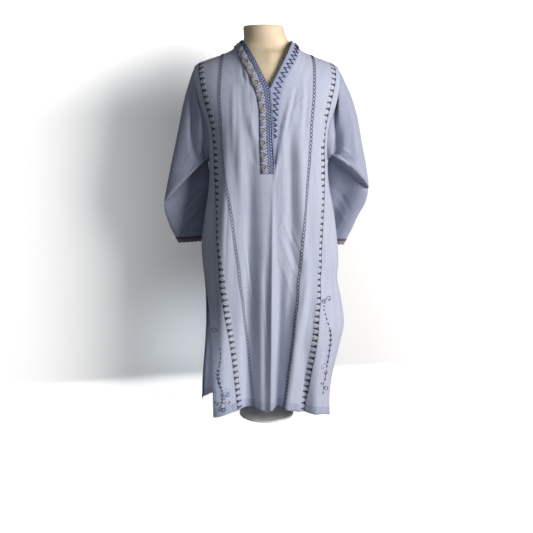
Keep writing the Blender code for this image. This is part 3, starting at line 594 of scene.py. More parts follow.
def front_chart():
    """Across and height of every point of the front panel's grid, column by column."""
    names = list(LINES)
    arm_heights = armhole("front", 1)[1]

    def side_edge(side):
        hem = look_up(HEM, edges("front", HEM_LEVEL)[0 if side < 0 else 2])
        across = np.append(np.full(UNDERARM_ROW + 1, float(side)), armhole("front", side)[0][1:])
        return across, heights_up(hem, TOP, arm_heights)

    def line(name):
        across, height = line_chart(name)
        up = heights_up(look_up(HEM, LINES[name][0]), height[-1], arm_heights)
        return through(up, height, across), up

    def opening(side):
        across, height = line_chart("opening")
        skirt = skirt_heights(look_up(HEM, LINES["opening"][0]))
        up = np.append(skirt, np.linspace(ARMPIT, height[-1], V_ROWS + 1)[1:])
        edge = evenly("front", *chart("front", *v_neckline(side)), ARM_ROWS - V_ROWS)
        return np.append(through(up, height, across), edge[0][1:]), np.append(up, edge[1][1:])

    middle = names.index("opening")
    left = [side_edge(-1), *map(line, names[:middle]), opening(-1)]
    right = [opening(1), *map(line, names[middle + 1:]), side_edge(1)]
    columns = []
    for bounds, cells in ((left, LINE_CELLS[:middle + 1]), (right, LINE_CELLS[middle + 1:])):
        for start, end, count in zip(bounds, bounds[1:], cells):
            columns += [[a + (b - a) * k / count for a, b in zip(start, end)] for k in range(count)]
        columns.append(bounds[-1])
    return [np.array(values) for values in zip(*columns)]


def line_column(name):
    """The grid column that runs along a line; the opening has one more column on its right."""
    number = list(LINES).index(name)
    return sum(LINE_CELLS[:number + 1]) + (number > list(LINES).index("opening"))


def weave_group():
    """Plain weave in two thread directions, on a UV map in metres: height, yarn and wash tones."""
    inputs = {"Vector": None, "Threads": 1800.0}
    n, given, out = new_group("weave", inputs, ("Height", "Yarn", "Wash"))
    u, v, _ = n.parts(given["Vector"])
    pitch = n.times(given["Threads"], 2 * math.pi)
    warp, weft = [n.math("SINE", n.times(way, pitch)) for way in (u, v)]
    n.feed(out["Height"], n.times(warp, weft))
    slubs = n.math("ADD", n.noise(given["Vector"], (420.0, 9.0, 1.0), 1.0, 3.0),
                   n.times(n.noise(given["Vector"], (9.0, 420.0, 1.0), 1.0, 3.0), 0.4))
    n.feed(out["Yarn"], n.times(slubs, 0.714))
    n.feed(out["Wash"], n.noise(given["Vector"], (7.0, 4.0, 1.0), 1.0, 4.0))
    return n.tree


def stitch_group():
    """A row of stitches along one line: across is the distance from it, along runs with it."""
    inputs = {"Across": 0.0, "Along": 0.0, "Pitch": 0.003, "Width": 0.0005}
    n, given, out = new_group("stitches", inputs, ("Thread", "Pull"))
    share = n.math("FRACT", n.math("DIVIDE", given["Along"], given["Pitch"]))
    dash = n.ramp(n.math("ABSOLUTE", n.math("SUBTRACT", share, 0.5)), 0.30, 0.40, 1.0, 0.0)
    widths = n.math("DIVIDE", n.math("ABSOLUTE", given["Across"]), given["Width"])
    n.feed(out["Thread"], n.times(n.ramp(widths, 0.6, 1.0, 1.0, 0.0), dash))
    n.feed(out["Pull"], n.ramp(widths, 1.0, 4.0, 1.0, 0.0))
    return n.tree


def stitch_over(n, colour, height, looks, shown, pull, within=None, **place):
    """Lays a row of stitches into a finish: thread into its colour, pull into its height."""
    row = n.group(stitches, **place)
    thread, pulled = [row[part] if within is None else n.times(row[part], within)
                      for part in ("Thread", "Pull")]
    colour = n.mix(n.times(thread, shown), colour, looks)
    return colour, n.math("SUBTRACT", height, n.times(pulled, pull))


weave = weave_group()
stitches = stitch_group()

HEM_DEPTH = 0.023         # of the turned-up hem
FACING = 0.014            # along the slits
TURN_EDGE = 0.0006        # over which their turned-in edges show
STITCH_IN = 0.0015        # from the fold of the hem to its stitch line


def chambray_finish(name, pale, deep, faced=True):
    """Chambray; its hem, slit facings and stitch lines follow from the distances to its edges."""
    made, n, shader = new_finish(name, 0.86, sheen=0.18)
    cut = n.uv("Cut")
    threads = n.group(weave, Vector=cut)
    colour = n.mix(n.ramp(threads["Yarn"], 0.38, 0.62), deep, pale)
    colour = n.mix(n.ramp(threads["Wash"], 0.35, 0.68, 0.0, 0.28), colour, srgb(178, 180, 194))
    u, v, _ = n.parts(cut)
    aside, above, _ = n.parts(n.uv("Edge"))
    double = n.ramp(above, HEM_DEPTH - TURN_EDGE, HEM_DEPTH + TURN_EDGE, 1.0, 0.0)
    if faced:
        below = n.ramp(above, SLIT_TOP - 0.030, SLIT_TOP - 0.020, 1.0, 0.0)
        turned = n.ramp(aside, FACING - TURN_EDGE, FACING + TURN_EDGE, 1.0, 0.0)
        double = n.math("MAXIMUM", double, n.times(turned, below))
    rubbed = n.ramp(n.noise(cut, (150.0, 12.0, 1.0), 1.0, 3.0), 0.40, 0.62)
    colour = n.mix(n.times(double, 0.75), colour,
                   n.mix(rubbed, srgb(146, 154, 182), srgb(168, 175, 200)))
    height = n.math("ADD", n.times(threads["Height"], 0.25), n.times(double, 0.9))
    rows = [{"Across": n.math("SUBTRACT", above, HEM_DEPTH - STITCH_IN), "Along": u}]
    if faced:
        rows.append({"Across": n.math("SUBTRACT", aside, FACING - STITCH_IN), "Along": v,
                     "within": below})
    for row in rows:
        colour, height = stitch_over(n, colour, height, srgb(120, 128, 160), 0.7, 0.7, **row)
    n.feed(shader["Base Color"], colour)
    n.feed(shader["Roughness"], n.ramp(threads["Yarn"], 0.3, 0.7, 0.90, 0.78))
    soft = n.bump(n.noise(cut, (38.0, 16.0, 1.0), 1.0, 4.0), 0.35, 0.0022)
    n.feed(shader["Normal"], n.bump(height, 0.5, 0.00035, soft))
    return made


chambray = chambray_finish("light chambray", pale=srgb(185, 190, 209), deep=srgb(173, 178, 200))


def cut_maps(points, skip=(), free_sides=True):
    """For each face corner: its place on the cloth in metres, and how far the edges are from it."""
    run = np.linalg.norm(np.diff(points, axis=0), axis=-1)
    run[list(skip)] = 0.0
    u = np.concatenate([np.zeros((1, points.shape[1])), np.cumsum(run, axis=0)])
    rise = np.linalg.norm(np.diff(points, axis=1), axis=-1)
    v = np.concatenate([np.zeros((points.shape[0], 1)), np.cumsum(rise, axis=1)], axis=1)
    aside = np.minimum(u, u[-1] - u) if free_sides else np.ones_like(u)
    corners = grid_faces(*points.shape[:2], skip)
    cut = np.stack([u - u[len(u) // 2], v], -1).reshape(-1, 2)[corners]
    edge = np.stack([aside, v], -1).reshape(-1, 2)[corners]
    return {"Cut": cut, "Edge": edge}


def wall(piece, thickness):
    shell = piece.modifiers.new("wall", "SOLIDIFY")
    shell.thickness = thickness
    shell.offset = 0.0
    shell.use_even_offset = False


def cloth_piece(name, points, materials, thickness, skip=(), flip=False, free_sides=True):
    """A panel of cloth from its grid of points, with a wall of its own thickness."""
    faces = grid_faces(*points.shape[:2], skip)
    maps = cut_maps(points, skip, free_sides)
    if flip:
        faces = faces[:, ::-1]
        maps = {key: value[:, ::-1] for key, value in maps.items()}
    piece = add_piece(name, points, faces, materials, uv_maps=maps)
    weld(piece)
    wall(piece, thickness)
    return piece


front_across, front_height = front_chart()
front_points, front_normals = surface("front", front_across, front_height)
front_cloth = cloth_piece("front_cloth", front_points, [chambray], CLOTH,
                          skip=(line_column("opening"),))
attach(front_cloth, "root")
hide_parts("front_panel")

# ---------------------------------------------------------------- back panel
# The back is one width of the same chambray, cut higher at the neck and wider at the slits.
# It hangs in soft flutes behind the form, hemmed and faced as the front is.

BACK_NECK = 1.055         # lowest height of the back neckline
NECK_CURVE = 1.2          # how flat the neckline runs to its middle
BACK_CELLS = (36, 24)     # columns of faces of half the panel: along the shoulder, round the neck
NECK_CROWD = 1.5          # how much closer the columns round the neck lie towards the middle
NECK_EASE = 2             # how late the columns turn towards the neck

# the same tables as the front's: free edges along the slits, hem, folds, creases
BACK_SLIT = metres(((25, -191, 22, 186, 24), (130, -186, 22, 186, 24), (223, -178, 20, 188, 22),
                    (290, -174, 16, 192, 17), (350, -174, 8, 198, 8)))
BACK_HEM = metres(((-191, 40), (-100, 34), (0, 30), (100, 32), (186, 36)))
EDGES["back"] = np.vstack([BACK_SLIT, SEAMS])
FOLDS["back"] = metres({
    "centre valley": (6, 780, 10, 20, -5, -18, 24, 22, 0.3, 0),
    "left flute": (-56, 820, -62, 20, 5, 13, 22, 24, 0.3, 0),
    "left valley": (-112, 800, -118, 20, -5, -15, 18, 20, 0.3, 0),
    "right flute": (64, 800, 70, 20, 5, 14, 22, 24, 0.3, 0),
    "right valley": (120, 780, 126, 20, -5, -15, 18, 20, 0.3, 0),
    "left side flute": (-176, 600, -180, 20, 2, 9, 16, 18, 0.4, 0),
}, shares=2)
CREASES["back"] = metres({
    "pressed middle": (0, 960, 0, 60, 1, 5, 0),
    "left blade": (-100, 980, -70, 800, 2.2, 7, 4),
    "right blade": (104, 980, 74, 800, 2.2, 7, -4),
    "drag from the left arm": (-150, 800, -60, 640, 1.6, 5, 4),
    "drag from the right arm": (152, 800, 66, 640, 1.6, 5, -4),
    "across the waist, left": (-120, 600, -60, 540, -1.2, 4, 2),
    "across the waist, right": (120, 610, 62, 560, -1.2, 4, 2),
    "left edge turned out": (-185, 420, -190, -20, -9, 26, 0),
    "left skirt, long": (-86, 480, -92, 80, 1.6, 6, 2),
    "right skirt, long": (92, 470, 98, 80, -1.6, 6, 2),
})


def back_neckline(x_end, low):
    """Half of a curve round the back of the neck, from the shoulder seam to the middle."""
    bend = np.linspace(0, math.pi / 2, CURVE_POINTS)
    top = float(shoulder_height(x_end))
    return x_end * np.cos(bend), top + (low - top) * np.sin(bend) ** NECK_CURVE


def back_chart():
    """Across and height of the back panel's points; its columns spread evenly at the hem."""
    seam_cells, neck_cells = BACK_CELLS
    tip, neck = [float(chart("back", x, shoulder_height(x))[0]) for x in (SHOULDER_TIP, NECK_POINT)]
    curve = evenly("back", *chart("back", *back_neckline(NECK_POINT, BACK_NECK)), neck_cells,
                   NECK_CROWD)
    half_across = np.append(np.linspace(tip, neck, seam_cells + 1), curve[0][1:])
    half_height = np.append(np.full(seam_cells + 1, TOP), curve[1][1:])
    top_across = np.append(-half_across, half_across[-2::-1]) / tip
    top_height = np.append(half_height, half_height[-2::-1])
    hem_across = (np.linspace(-1, 1, len(top_across)) + top_across) / 2
    hem_x = body("back", hem_across, np.full(len(hem_across), HEM_LEVEL))[:, 0]
    arm_across, arm_heights = armhole("back", 1)
    edge = np.append(np.ones(UNDERARM_ROW + 1), arm_across[1:])
    ease = np.linspace(0, 1, len(edge)) ** NECK_EASE
    across = (hem_across[:, None] + (top_across - hem_across)[:, None] * ease) * edge
    height = [heights_up(low, high, arm_heights)
              for low, high in zip(look_up(BACK_HEM, hem_x), top_height)]
    return across, np.array(height)


back_across, back_height = back_chart()
back_points, back_normals = surface("back", back_across, back_height)
back_cloth = cloth_piece("back_cloth", back_points, [chambray], CLOTH, flip=True)
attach(back_cloth, "root")
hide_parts("back_panel")

# ---------------------------------------------------------------- neckbands
# Straight strips of a deeper periwinkle cotton, turned under at both edges and stitched down.
# One runs on below the V as the placket; the other tapers beside it, and a third closes the back.

BAND = 0.0008
BAND_RISE = CLOTH / 2 + BAND / 2 + 0.0003      # middle of the band above the middle of the cloth
BAND_PUFF = 0.0006                             # how far the band's middle stands above its edges
BAND_STITCH = 0.0018                           # from the edge of the band to its stitch line


def band_finish():
    made, n, shader = new_finish("periwinkle band", 0.82, sheen=0.2)
    cut = n.uv("Cut")
    threads = n.group(weave, Vector=cut)
    colour = n.mix(n.ramp(threads["Yarn"], 0.38, 0.62), srgb(150, 158, 190), srgb(164, 172, 203))
    aside, v = n.parts(n.uv("Edge"))[0], n.parts(cut)[1]
    colour, height = stitch_over(n, colour, n.times(threads["Height"], 0.3), srgb(120, 126, 165),
                                 0.5, 0.8, Across=n.math("SUBTRACT", aside, BAND_STITCH), Along=v)
    n.feed(shader["Base Color"], colour)
    soft = n.bump(n.noise(cut, (60.0, 30.0, 1.0), 1.0, 3.0), 0.25, 0.001)
    n.feed(shader["Normal"], n.bump(height, 0.5, 0.0003, soft))
    return made


def band_piece(name, points, normals, node, slot, finish, cut, area, under):
    """A band from points of the cloth, lifted off it and puffed a little between its edges."""
    share = np.linspace(-1, 1, len(points))[:, None]
    lift = BAND_RISE + BAND_PUFF * (1 - share ** 4)
    piece = cloth_piece(name, points + normals * lift[..., None], [finish], BAND)
    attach(piece, "root")
    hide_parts(node)
    return piece


BAND_CELLS = 16                                # across each front band
BAND_ROWS = (84, 58)                           # below the corner at the V, above it
BAND_CORNER = 0.929                            # height of the corner on the outer edges
PLAIN_START = 0.748                            # lower end of the plain band


def line_stretch(name, low, high):
    """A stretch of one of the front's lines, in the chart of the body."""
    across, height = line_chart(name)
    up = np.linspace(low, high, CURVE_POINTS)
    return through(up, height, across), up


def band_edge(*stretches):
    """A band's edge in two stretches that meet at its corner, each divided evenly."""
    low, high = [np.array(evenly("front", *stretch, rows))
                 for stretch, rows in zip(stretches, BAND_ROWS)]
    return np.concatenate([low, high[:, 1:]], axis=1)


def band_grid(low, outer, side):
    """Across and height of a front band's points; its rows lie square to the band."""
    point = float(chart("front", *V_POINT)[1])
    corner_x = np.interp(BAND_CORNER, LINE_HEIGHTS, LINES[outer])
    corner = float(chart("front", corner_x, BAND_CORNER)[1])
    neck_edge = band_edge(line_stretch("opening", low, point), chart("front", *v_neckline(side)))
    outer_edge = band_edge(line_stretch(outer, low, corner), line_stretch(outer, corner, TOP))
    start, end = (outer_edge, neck_edge) if side < 0 else (neck_edge, outer_edge)
    share = np.linspace(0, 1, BAND_CELLS + 1)[:, None]
    return [a + (b - a) * share for a, b in zip(start, end)]


periwinkle = band_finish()
placket_grid = band_grid(PLACKET_END, "placket left", -1)
plain_grid = band_grid(PLAIN_START, "band right", 1)
band_placket = band_piece("band_placket", *surface("front", *placket_grid),
                          "neckband_embroidered", "embroidered_band", periwinkle,
                          (0.040, 0.38), 0.0143, "front_cloth")
band_plain = band_piece("band_plain", *surface("front", *plain_grid),
                        "neckband_plain", "plain_band", periwinkle,
                        (0.038, 0.34), 0.0102, "front_cloth")

BACK_BAND = ((0.066, BACK_NECK), (0.088, 1.021))   # both edges: x at the seam, height in the middle
BACK_BAND_CELLS = (40, 12)                         # half round the neck, across the band


def back_band_grid(cells):
    """Across and height round the back of the neck, between the edges of the band."""
    inner, outer = [np.array(evenly("back", *chart("back", *back_neckline(*edge)), cells))
                    for edge in BACK_BAND]
    share = np.linspace(0, 1, BACK_BAND_CELLS[1] + 1)[None, :, None]
    half = inner[:, None, :] + (outer - inner)[:, None, :] * share
    mirrored = half[:, :, -2::-1] * np.array([-1, 1])[:, None, None]
    return np.concatenate([half, mirrored], axis=2)


back_band_points = surface("back", *back_band_grid(BACK_BAND_CELLS[0]))
band_back = band_piece("band_back", *back_band_points, "neckband_back", "plain_band", periwinkle,
                       (0.040, 0.25), 0.0089, "back_cloth")


# ---------------------------------------------------------------- needlework on the placket band
# Machine embroidery in cotton thread: cream bars and drops outlined in navy, a row of navy and blue
# diamonds beside them, and thin lines along both edges.  Every stitch lies on its band.

THREAD = 0.00045          # radius of one couched thread
TWIST = 0.35              # slant of the strands in a thread
STRANDS = 9000.0          # turns per metre of those strands
END_GAP = 0.0005          # from the ends of a band to the ends of its lines


class Strip:
    """A strip of a panel that needlework is laid on: metres along it and metres across it."""

    def __init__(self, panel, across, height, rise, width=None):
        self.panel, self.across, self.height, self.rise = panel, across, height, rise
        points = cloth(panel, across, height)
        steps = np.linalg.norm(np.diff(points[len(points) // 2], axis=0), axis=-1)
        self.run = np.append(0, np.cumsum(steps))
        self.length = self.run[-1]
        real_width = np.linalg.norm(points[-1] - points[0], axis=-1)
        self.width = real_width if width is None else np.full_like(real_width, width)

    def place(self, local):
        """Local points hold metres along, metres across and metres above the strip."""
        columns, rows = self.across.shape
        row = np.clip(np.interp(local[:, 0], self.run, np.arange(rows)), 0, rows - 1.001)
        share = np.clip(local[:, 1] / np.interp(row, np.arange(rows), self.width), 0, 0.9999)
        spot = share * (columns - 1)
        i, j = spot.astype(int), row.astype(int)
        row, spot = row - j, spot - i
        blended = []
        for values in (self.across, self.height):
            near = values[i, j] * (1 - row) + values[i, j + 1] * row
            far = values[i + 1, j] * (1 - row) + values[i + 1, j + 1] * row
            blended.append(near * (1 - spot) + far * spot)
        points, normals = surface(self.panel, *blended)
        rise = self.rise(2 * share - 1) if callable(self.rise) else self.rise
        return points + normals * (rise + local[:, 2])[:, None]


class Needlework:
    """Stitched shapes gathered into one mesh, each in its own thread."""

    def __init__(self):
        self.points, self.faces, self.looks = [], [], []

    def put(self, points, faces, looks):
        start = len(self.points)
        self.points.extend(points)
        self.faces.extend([tuple(start + number for number in face) for face in faces])
        self.looks.extend([looks] * len(faces))

    def cord(self, path, radius, looks, closed=False, sides=5, above=0.0):
        """A thread along a path of (along, across) points, half sunk into the cloth."""
        path = np.asarray(path, float)
        count = len(path)
        if closed:
            way = np.roll(path, -1, axis=0) - np.roll(path, 1, axis=0)
        else:
            way = np.vstack([path[1:], path[-1:]]) - np.vstack([path[:1], path[:-1]])
        way /= np.maximum(np.linalg.norm(way, axis=1, keepdims=True), 1e-9)
        aside = np.stack([-way[:, 1], way[:, 0]], -1)
        turn = np.arange(sides) / sides * 2 * math.pi
        points = [(*(spot + out * radius * math.cos(angle)),
                   above + radius * (0.6 + math.sin(angle)))
                  for spot, out in zip(path, aside) for angle in turn]
        faces = []
        for i in range(count if closed else count - 1):
            start, end = i * sides, (i + 1) % count * sides
            for k in range(sides):
                m = (k + 1) % sides
                faces.append((start + k, end + k, end + m, start + m))
        if not closed:
            faces.append(tuple(range(sides)))
            faces.append(tuple((count - 1) * sides + k for k in reversed(range(sides))))
        self.put(points, faces, looks)

    def line(self, start, end, across, count, radius, looks, above=0.0):
        """A straight thread along the strip."""
        along = np.linspace(start, end, count)
        self.cord(np.stack([along, np.full_like(along, across)], -1), radius, looks, above=above)

    def pad(self, outline, height, looks):
        """A satin-stitched patch, crowned in its middle; the outline runs anticlockwise."""
        outline = np.asarray(outline, float)
        middle = outline.mean(axis=0)
        count = len(outline)
        points = [(*(middle + (spot - middle) * share), height * level)
                  for share, level in ((1.0, 0.0), (0.96, 0.45), (0.72, 0.85), (0.36, 1.0))
                  for spot in outline]
        faces = []
        for low in range(0, 3 * count, count):
            for i in range(count):
                j = (i + 1) % count
                faces.append((low + i, low + j, low + count + j, low + count + i))
        faces.append(tuple(3 * count + i for i in range(count)))
        faces.append(tuple(reversed(range(count))))
        self.put(points, faces, looks)

    def sew(self, name, place, threads):
        """Lays every shape in its place and makes the piece; its UV map runs along and across."""
        local = np.array(self.points)
        corners = [number for face in self.faces for number in face]
        piece = add_piece(name, place(local), self.faces, threads, self.looks,
                          {"Cut": local[corners, :2]})
        edit(piece, lambda: bpy.ops.mesh.normals_make_consistent(inside=False))
        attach(piece, "root")
        return piece


def oval(middle, half_along, half_across, count=12, start=0.0, end=2 * math.pi):
    turn = np.linspace(start, end, count, endpoint=end - start < 2 * math.pi)
    return np.stack([middle[0] + half_along * np.cos(turn),
                     middle[1] + half_across * np.sin(turn)], -1)


def dot(middle, radius, count):
    return oval(middle, radius, radius, count)


def thread_finish(name, colour):
    """Mercerised cotton thread: a soft shine and fine strands laid across the stitch."""
    made, n, shader = new_finish(name, 0.6, sheen=0.08)
    cut = n.uv("Cut")
    u, v, _ = n.parts(cut)
    strands = n.math("SINE", n.times(n.math("ADD", u, n.times(v, TWIST)), STRANDS))
    worn = n.noise(cut, (90.0, 90.0, 1.0), 1.0, 3.0)
    pale = tuple(min(1.0, part * 1.25 + 0.02) for part in colour)
    n.feed(shader["Base Color"], n.mix(n.ramp(worn, 0.35, 0.7), colour, pale))
    n.feed(shader["Normal"], n.bump(strands, 0.4, 0.0002))
    return made


THREADS = [thread_finish(f"{name} thread", srgb(*chart_colour)) for name, chart_colour in (
    ("navy", (22, 25, 56)), ("maroon", (80, 62, 76)), ("cream", (184, 183, 190)),
    ("rose cream", (192, 186, 188)), ("sky", (120, 140, 186)), ("blue", (78, 92, 140)),
    ("slate", (98, 98, 122)))]
NAVY, MAROON, CREAM, ROSE, SKY, BLUE, SLATE = range(len(THREADS))


def band_rise(share):
    """Height of a puffed band's face above the middle of the cloth."""
    return BAND_RISE + BAND_PUFF * (1 - share ** 4) + BAND / 2


PLACKET_WIDTH = 0.036
placket_strip = Strip("front", *placket_grid, band_rise, PLACKET_WIDTH)

REPEAT = 0.0300           # of the band's pattern along it


def placket_needlework():
    work = Needlework()
    length = placket_strip.length
    count = int(length // REPEAT)
    for start in np.arange(count) * (length / count):
        # a bar with a round end, outlined, and two dark lines down it
        bar = np.vstack([[(start + 0.0024, 0.0030), (start + 0.0024, 0.0176)],
                         oval((start + 0.0068, 0.0176), 0.0044, 0.0042, 7, math.pi, 0.0)[1:-1],
                         [(start + 0.0112, 0.0176), (start + 0.0112, 0.0030)]])
        work.cord(bar, 0.0012, ROSE)
        for beside, low, high, radius, looks in ((0.0068, 0.0035, 0.0185, 0.0012, ROSE),
                                                 (0.0046, 0.0040, 0.0170, 0.0006, NAVY),
                                                 (0.0090, 0.0040, 0.0170, 0.0006, NAVY)):
            work.cord([(start + beside, low), (start + beside, high)], radius, looks)
        # a cream drop in a navy arch, with four dots over it
        middle = (start + 0.0205, 0.0085)
        work.pad(oval(middle, 0.0022, 0.0030, 8), 0.0009, ROSE)
        for half_along, half_across, points, reach, radius, looks in (
                (0.0076, 0.0114, 15, 0.6, 0.0010, ROSE), (0.0060, 0.0092, 13, 0.5, 0.0009, NAVY)):
            work.cord(oval(middle, half_along, half_across, points, -reach, math.pi + reach),
                      radius, looks)
        work.cord(oval(middle, 0.0044, 0.0066, 12), 0.0010, ROSE, closed=True)
        work.cord(oval(middle, 0.0028, 0.0040, 10), 0.0007, MAROON, closed=True)
        for spot in ((0.0175, 0.0205), (0.0205, 0.0215), (0.0235, 0.0205), (0.0205, 0.0150)):
            work.pad(dot((start + spot[0], spot[1]), 0.0011, 7), 0.0007, NAVY)
    # diamonds and dots beside the bars
    half = REPEAT / 4
    zigzags = int(length // half)
    for low, high, radius, looks in ((0.0226, 0.0342, 0.0009, NAVY),
                                     (0.0250, 0.0318, 0.0008, BLUE)):
        for phase in (0, 1):
            path = [(k * half, high if (k + phase) % 2 else low) for k in range(zigzags + 1)]
            work.cord(path, radius, looks)
    for k in range(zigzags):
        work.pad(dot(((k + 0.5) * half, 0.0284), 0.0016, 8), 0.0009, ROSE if k % 2 else BLUE)
    # lines along the edges
    for across, radius, looks in ((0.0010, 0.0007, NAVY), (0.0022, THREAD, MAROON),
                                  (0.0350, 0.0006, NAVY)):
        work.line(END_GAP, length - END_GAP, across, 120, radius, looks)
    return work.sew("placket_needlework", placket_strip.place, THREADS)


placket_needlework()

# ---------------------------------------------------------------- zigzag on the plain bands
# A heavy navy zigzag is couched along the outer half of the plain band and goes on round the back.
# Below the V it breaks up into chevrons.  A thin piping edges the neck.

ZIG_RADIUS = 0.0018
ZIG_HALF = 0.0074         # along the band, from one point of the zigzag to the next
PIPING_START = 0.095      # how far past the start of the zigzag the piping of the neck begins
plain_strip = Strip("front", *plain_grid, band_rise)
around_back = Strip("back", *back_band_grid(60), band_rise)


def zigzag_piece(name, strip, start, end, low, high, chevrons):
    """Low and high are shares of the width, each at the start and at the end of the zigzag."""
    work = Needlework()

    def width(along):
        return np.interp(along, strip.run, strip.width)

    count = int((end - start) / ZIG_HALF)
    path = []
    for k in range(count + 1):
        t = k / count
        first, last = low if k % 2 else high
        along = start + (end - start) * t
        path.append((along, (first + (last - first) * t) * width(along)))
    work.cord(path, ZIG_RADIUS, NAVY, sides=6)
    for along in chevrons:
        wide = width(along)
        work.cord([(along + 0.004, 0.12 * wide), (along, 0.50 * wide),
                   (along - 0.004, 0.15 * wide)], ZIG_RADIUS, NAVY, sides=6)
    work.line(start + PIPING_START, strip.length - END_GAP, 0.0005, 90, 0.0004, MAROON)
    work.sew(name, strip.place, THREADS)


zigzag_piece("zigzag_front", plain_strip, 0.126, plain_strip.length - 0.004, (0.12, 0.48),
             (0.66, 0.94), (0.070, 0.085, 0.099, 0.113))
zigzag_piece("zigzag_back", around_back, 0.004, around_back.length - 0.004, (0.40, 0.40),
             (0.90, 0.90), ())

# ---------------------------------------------------------------- chain trims
# Two rows of linked loops run from the shoulders to the hem, slate grey on the left and navy on
# the right, with maroon knots where the cords cross.  They follow the panel over every fold.

TRIM_RISE = CLOTH / 2
LOOP_PITCH = 0.0104
LOOP_HALF = 0.0040        # half the width of a loop
CHAIN_MIDDLE = 0.0040     # of the chain, from the edge of its strip
CHAIN_GAP = 0.0006        # from the ends of the strip to the ends of the cords


def front_strip(first, last):
    spot = slice(line_column(first), line_column(last) + 1)
    return Strip("front", front_across[spot], front_height[spot], TRIM_RISE)


def chain_trim(name, strip, node, looks):
    """Two cords that cross at each knot, so that they enclose a row of open loops."""
    work = Needlework()
    count = int(strip.length / LOOP_PITCH)
    pitch = strip.length / count
    along = np.linspace(CHAIN_GAP, strip.length - CHAIN_GAP, count * 8 + 1)
    swing = LOOP_HALF * np.sin(math.pi * along / pitch)
    for hand in (-1, 1):
        work.cord(np.stack([along, CHAIN_MIDDLE + hand * swing], -1), 0.0009, looks, sides=4)
    for k in range(1, count):
        work.pad(dot((k * pitch, CHAIN_MIDDLE), 0.0016, 6), 0.0011, MAROON)
    piece = work.sew(name, strip.place, THREADS)
    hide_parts(node)


for word, first, last, looks in (("left", "chain out left", "chain in left", SLATE),
                                 ("right", "chain in right", "chain out right", NAVY)):
    chain_trim(f"chain_loops_{word}", front_strip(first, last), f"chain_trim_{word}", looks)

# ---------------------------------------------------------------- tooth borders
# Beside each armhole and down to the hem runs a border of satin teeth, navy and maroon in turn,
# with cream wedges between them and a thin wavy line along the outer edge.

TOOTH_PITCH = 0.0172
WEDGE_GAP = 0.006         # left free at the top of the border
# outlines of a tooth and of the bar at its tip: along from its middle, across from the outer edge
TOOTH = metres(((-5.8, 1.2), (5.8, 1.2), (4.2, 5), (2.4, 9), (1.4, 15), (-1.4, 15), (-2.4, 9),
                (-4.2, 5)))
TOOTH_BAR = metres(((-3.4, 14.6), (3.4, 14.6), (3, 16.4), (-3, 16.4)))
# how far the teeth reach across each border: shares of the way up from the hem, and of their size
TOOTH_REACH = {
    "left": ((0.00, 0.38, 0.43, 0.50, 0.57, 0.60, 0.74, 0.76, 0.78, 1.00),
             (1.00, 1.00, 0.65, 0.45, 0.50, 1.00, 1.00, 0.50, 1.00, 1.00)),
    "right": ((0.00, 0.26, 0.34, 0.42, 0.62, 0.66, 0.74, 0.76, 0.80, 0.82, 1.00),
              (1.00, 1.00, 0.75, 0.60, 0.55, 0.95, 0.95, 0.40, 0.40, 1.00, 1.00))}


def tooth_border(name, strip, node, mirrored):
    work = Needlework()
    width = float(np.median(strip.width))
    count = int(strip.length / TOOTH_PITCH)
    pitch = strip.length / count
    shares, sizes = TOOTH_REACH["right" if mirrored else "left"]

    def turned(outline):
        """Outlines are drawn from the outer edge; on the right side that is the far edge."""
        outline = np.array(outline, float)
        if mirrored:
            outline[:, 1] = width - outline[:, 1]
            outline = outline[::-1]
        return outline

    for k in range(count):
        middle = (k + 0.5) * pitch
        reach = np.interp(middle / strip.length, shares, sizes)
        for outline, rise in ((TOOTH, 0.0010), (TOOTH_BAR, 0.0009)):
            work.pad(turned(outline * (1.0, reach) + (middle, 0.0)), rise, (MAROON, NAVY)[k % 2])
        between = middle + pitch / 2
        if between < strip.length - WEDGE_GAP:
            top = width * (0.25 + 0.75 * reach)
            wedge = [(between - 0.0005, 0.0040), (between + 0.0005, 0.0040),
                     (between + 0.0030, top - 0.0070), (between + 0.0024, top - 0.0046),
                     (between, top - 0.0036), (between - 0.0024, top - 0.0046),
                     (between - 0.0030, top - 0.0070)]
            work.pad(turned(wedge), 0.0007, CREAM)
    wave = TOOTH_PITCH / 4
    along = np.linspace(0.001, strip.length - 0.001, int(strip.length / wave) * 4)
    line = np.stack([along, 0.0011 + 0.0008 * np.sin(along / wave * 2 * math.pi)], -1)
    work.cord(turned(line), THREAD, NAVY, sides=4)

    def place(local):
        local = local.copy()
        local[:, 1] *= np.interp(local[:, 0], strip.run, strip.width) / width
        return strip.place(local)

    piece = work.sew(name, place, THREADS)
    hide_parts(node)


tooth_border("tooth_row_left", front_strip("border out left", "border in left"),
             "tooth_border_left", mirrored=False)
tooth_border("tooth_row_right", front_strip("border in right", "border out right"),
             "tooth_border_right", mirrored=True)


# ---------------------------------------------------------------- sleeves
# Straight three-quarter sleeves, set in with a lapped seam.  The arms hang, so each sleeve folds
# over at the elbow, and its lower part hangs behind the fold.

ARM_LIFT = 0.0009                  # from the middle of the panel to the middle of the sleeve
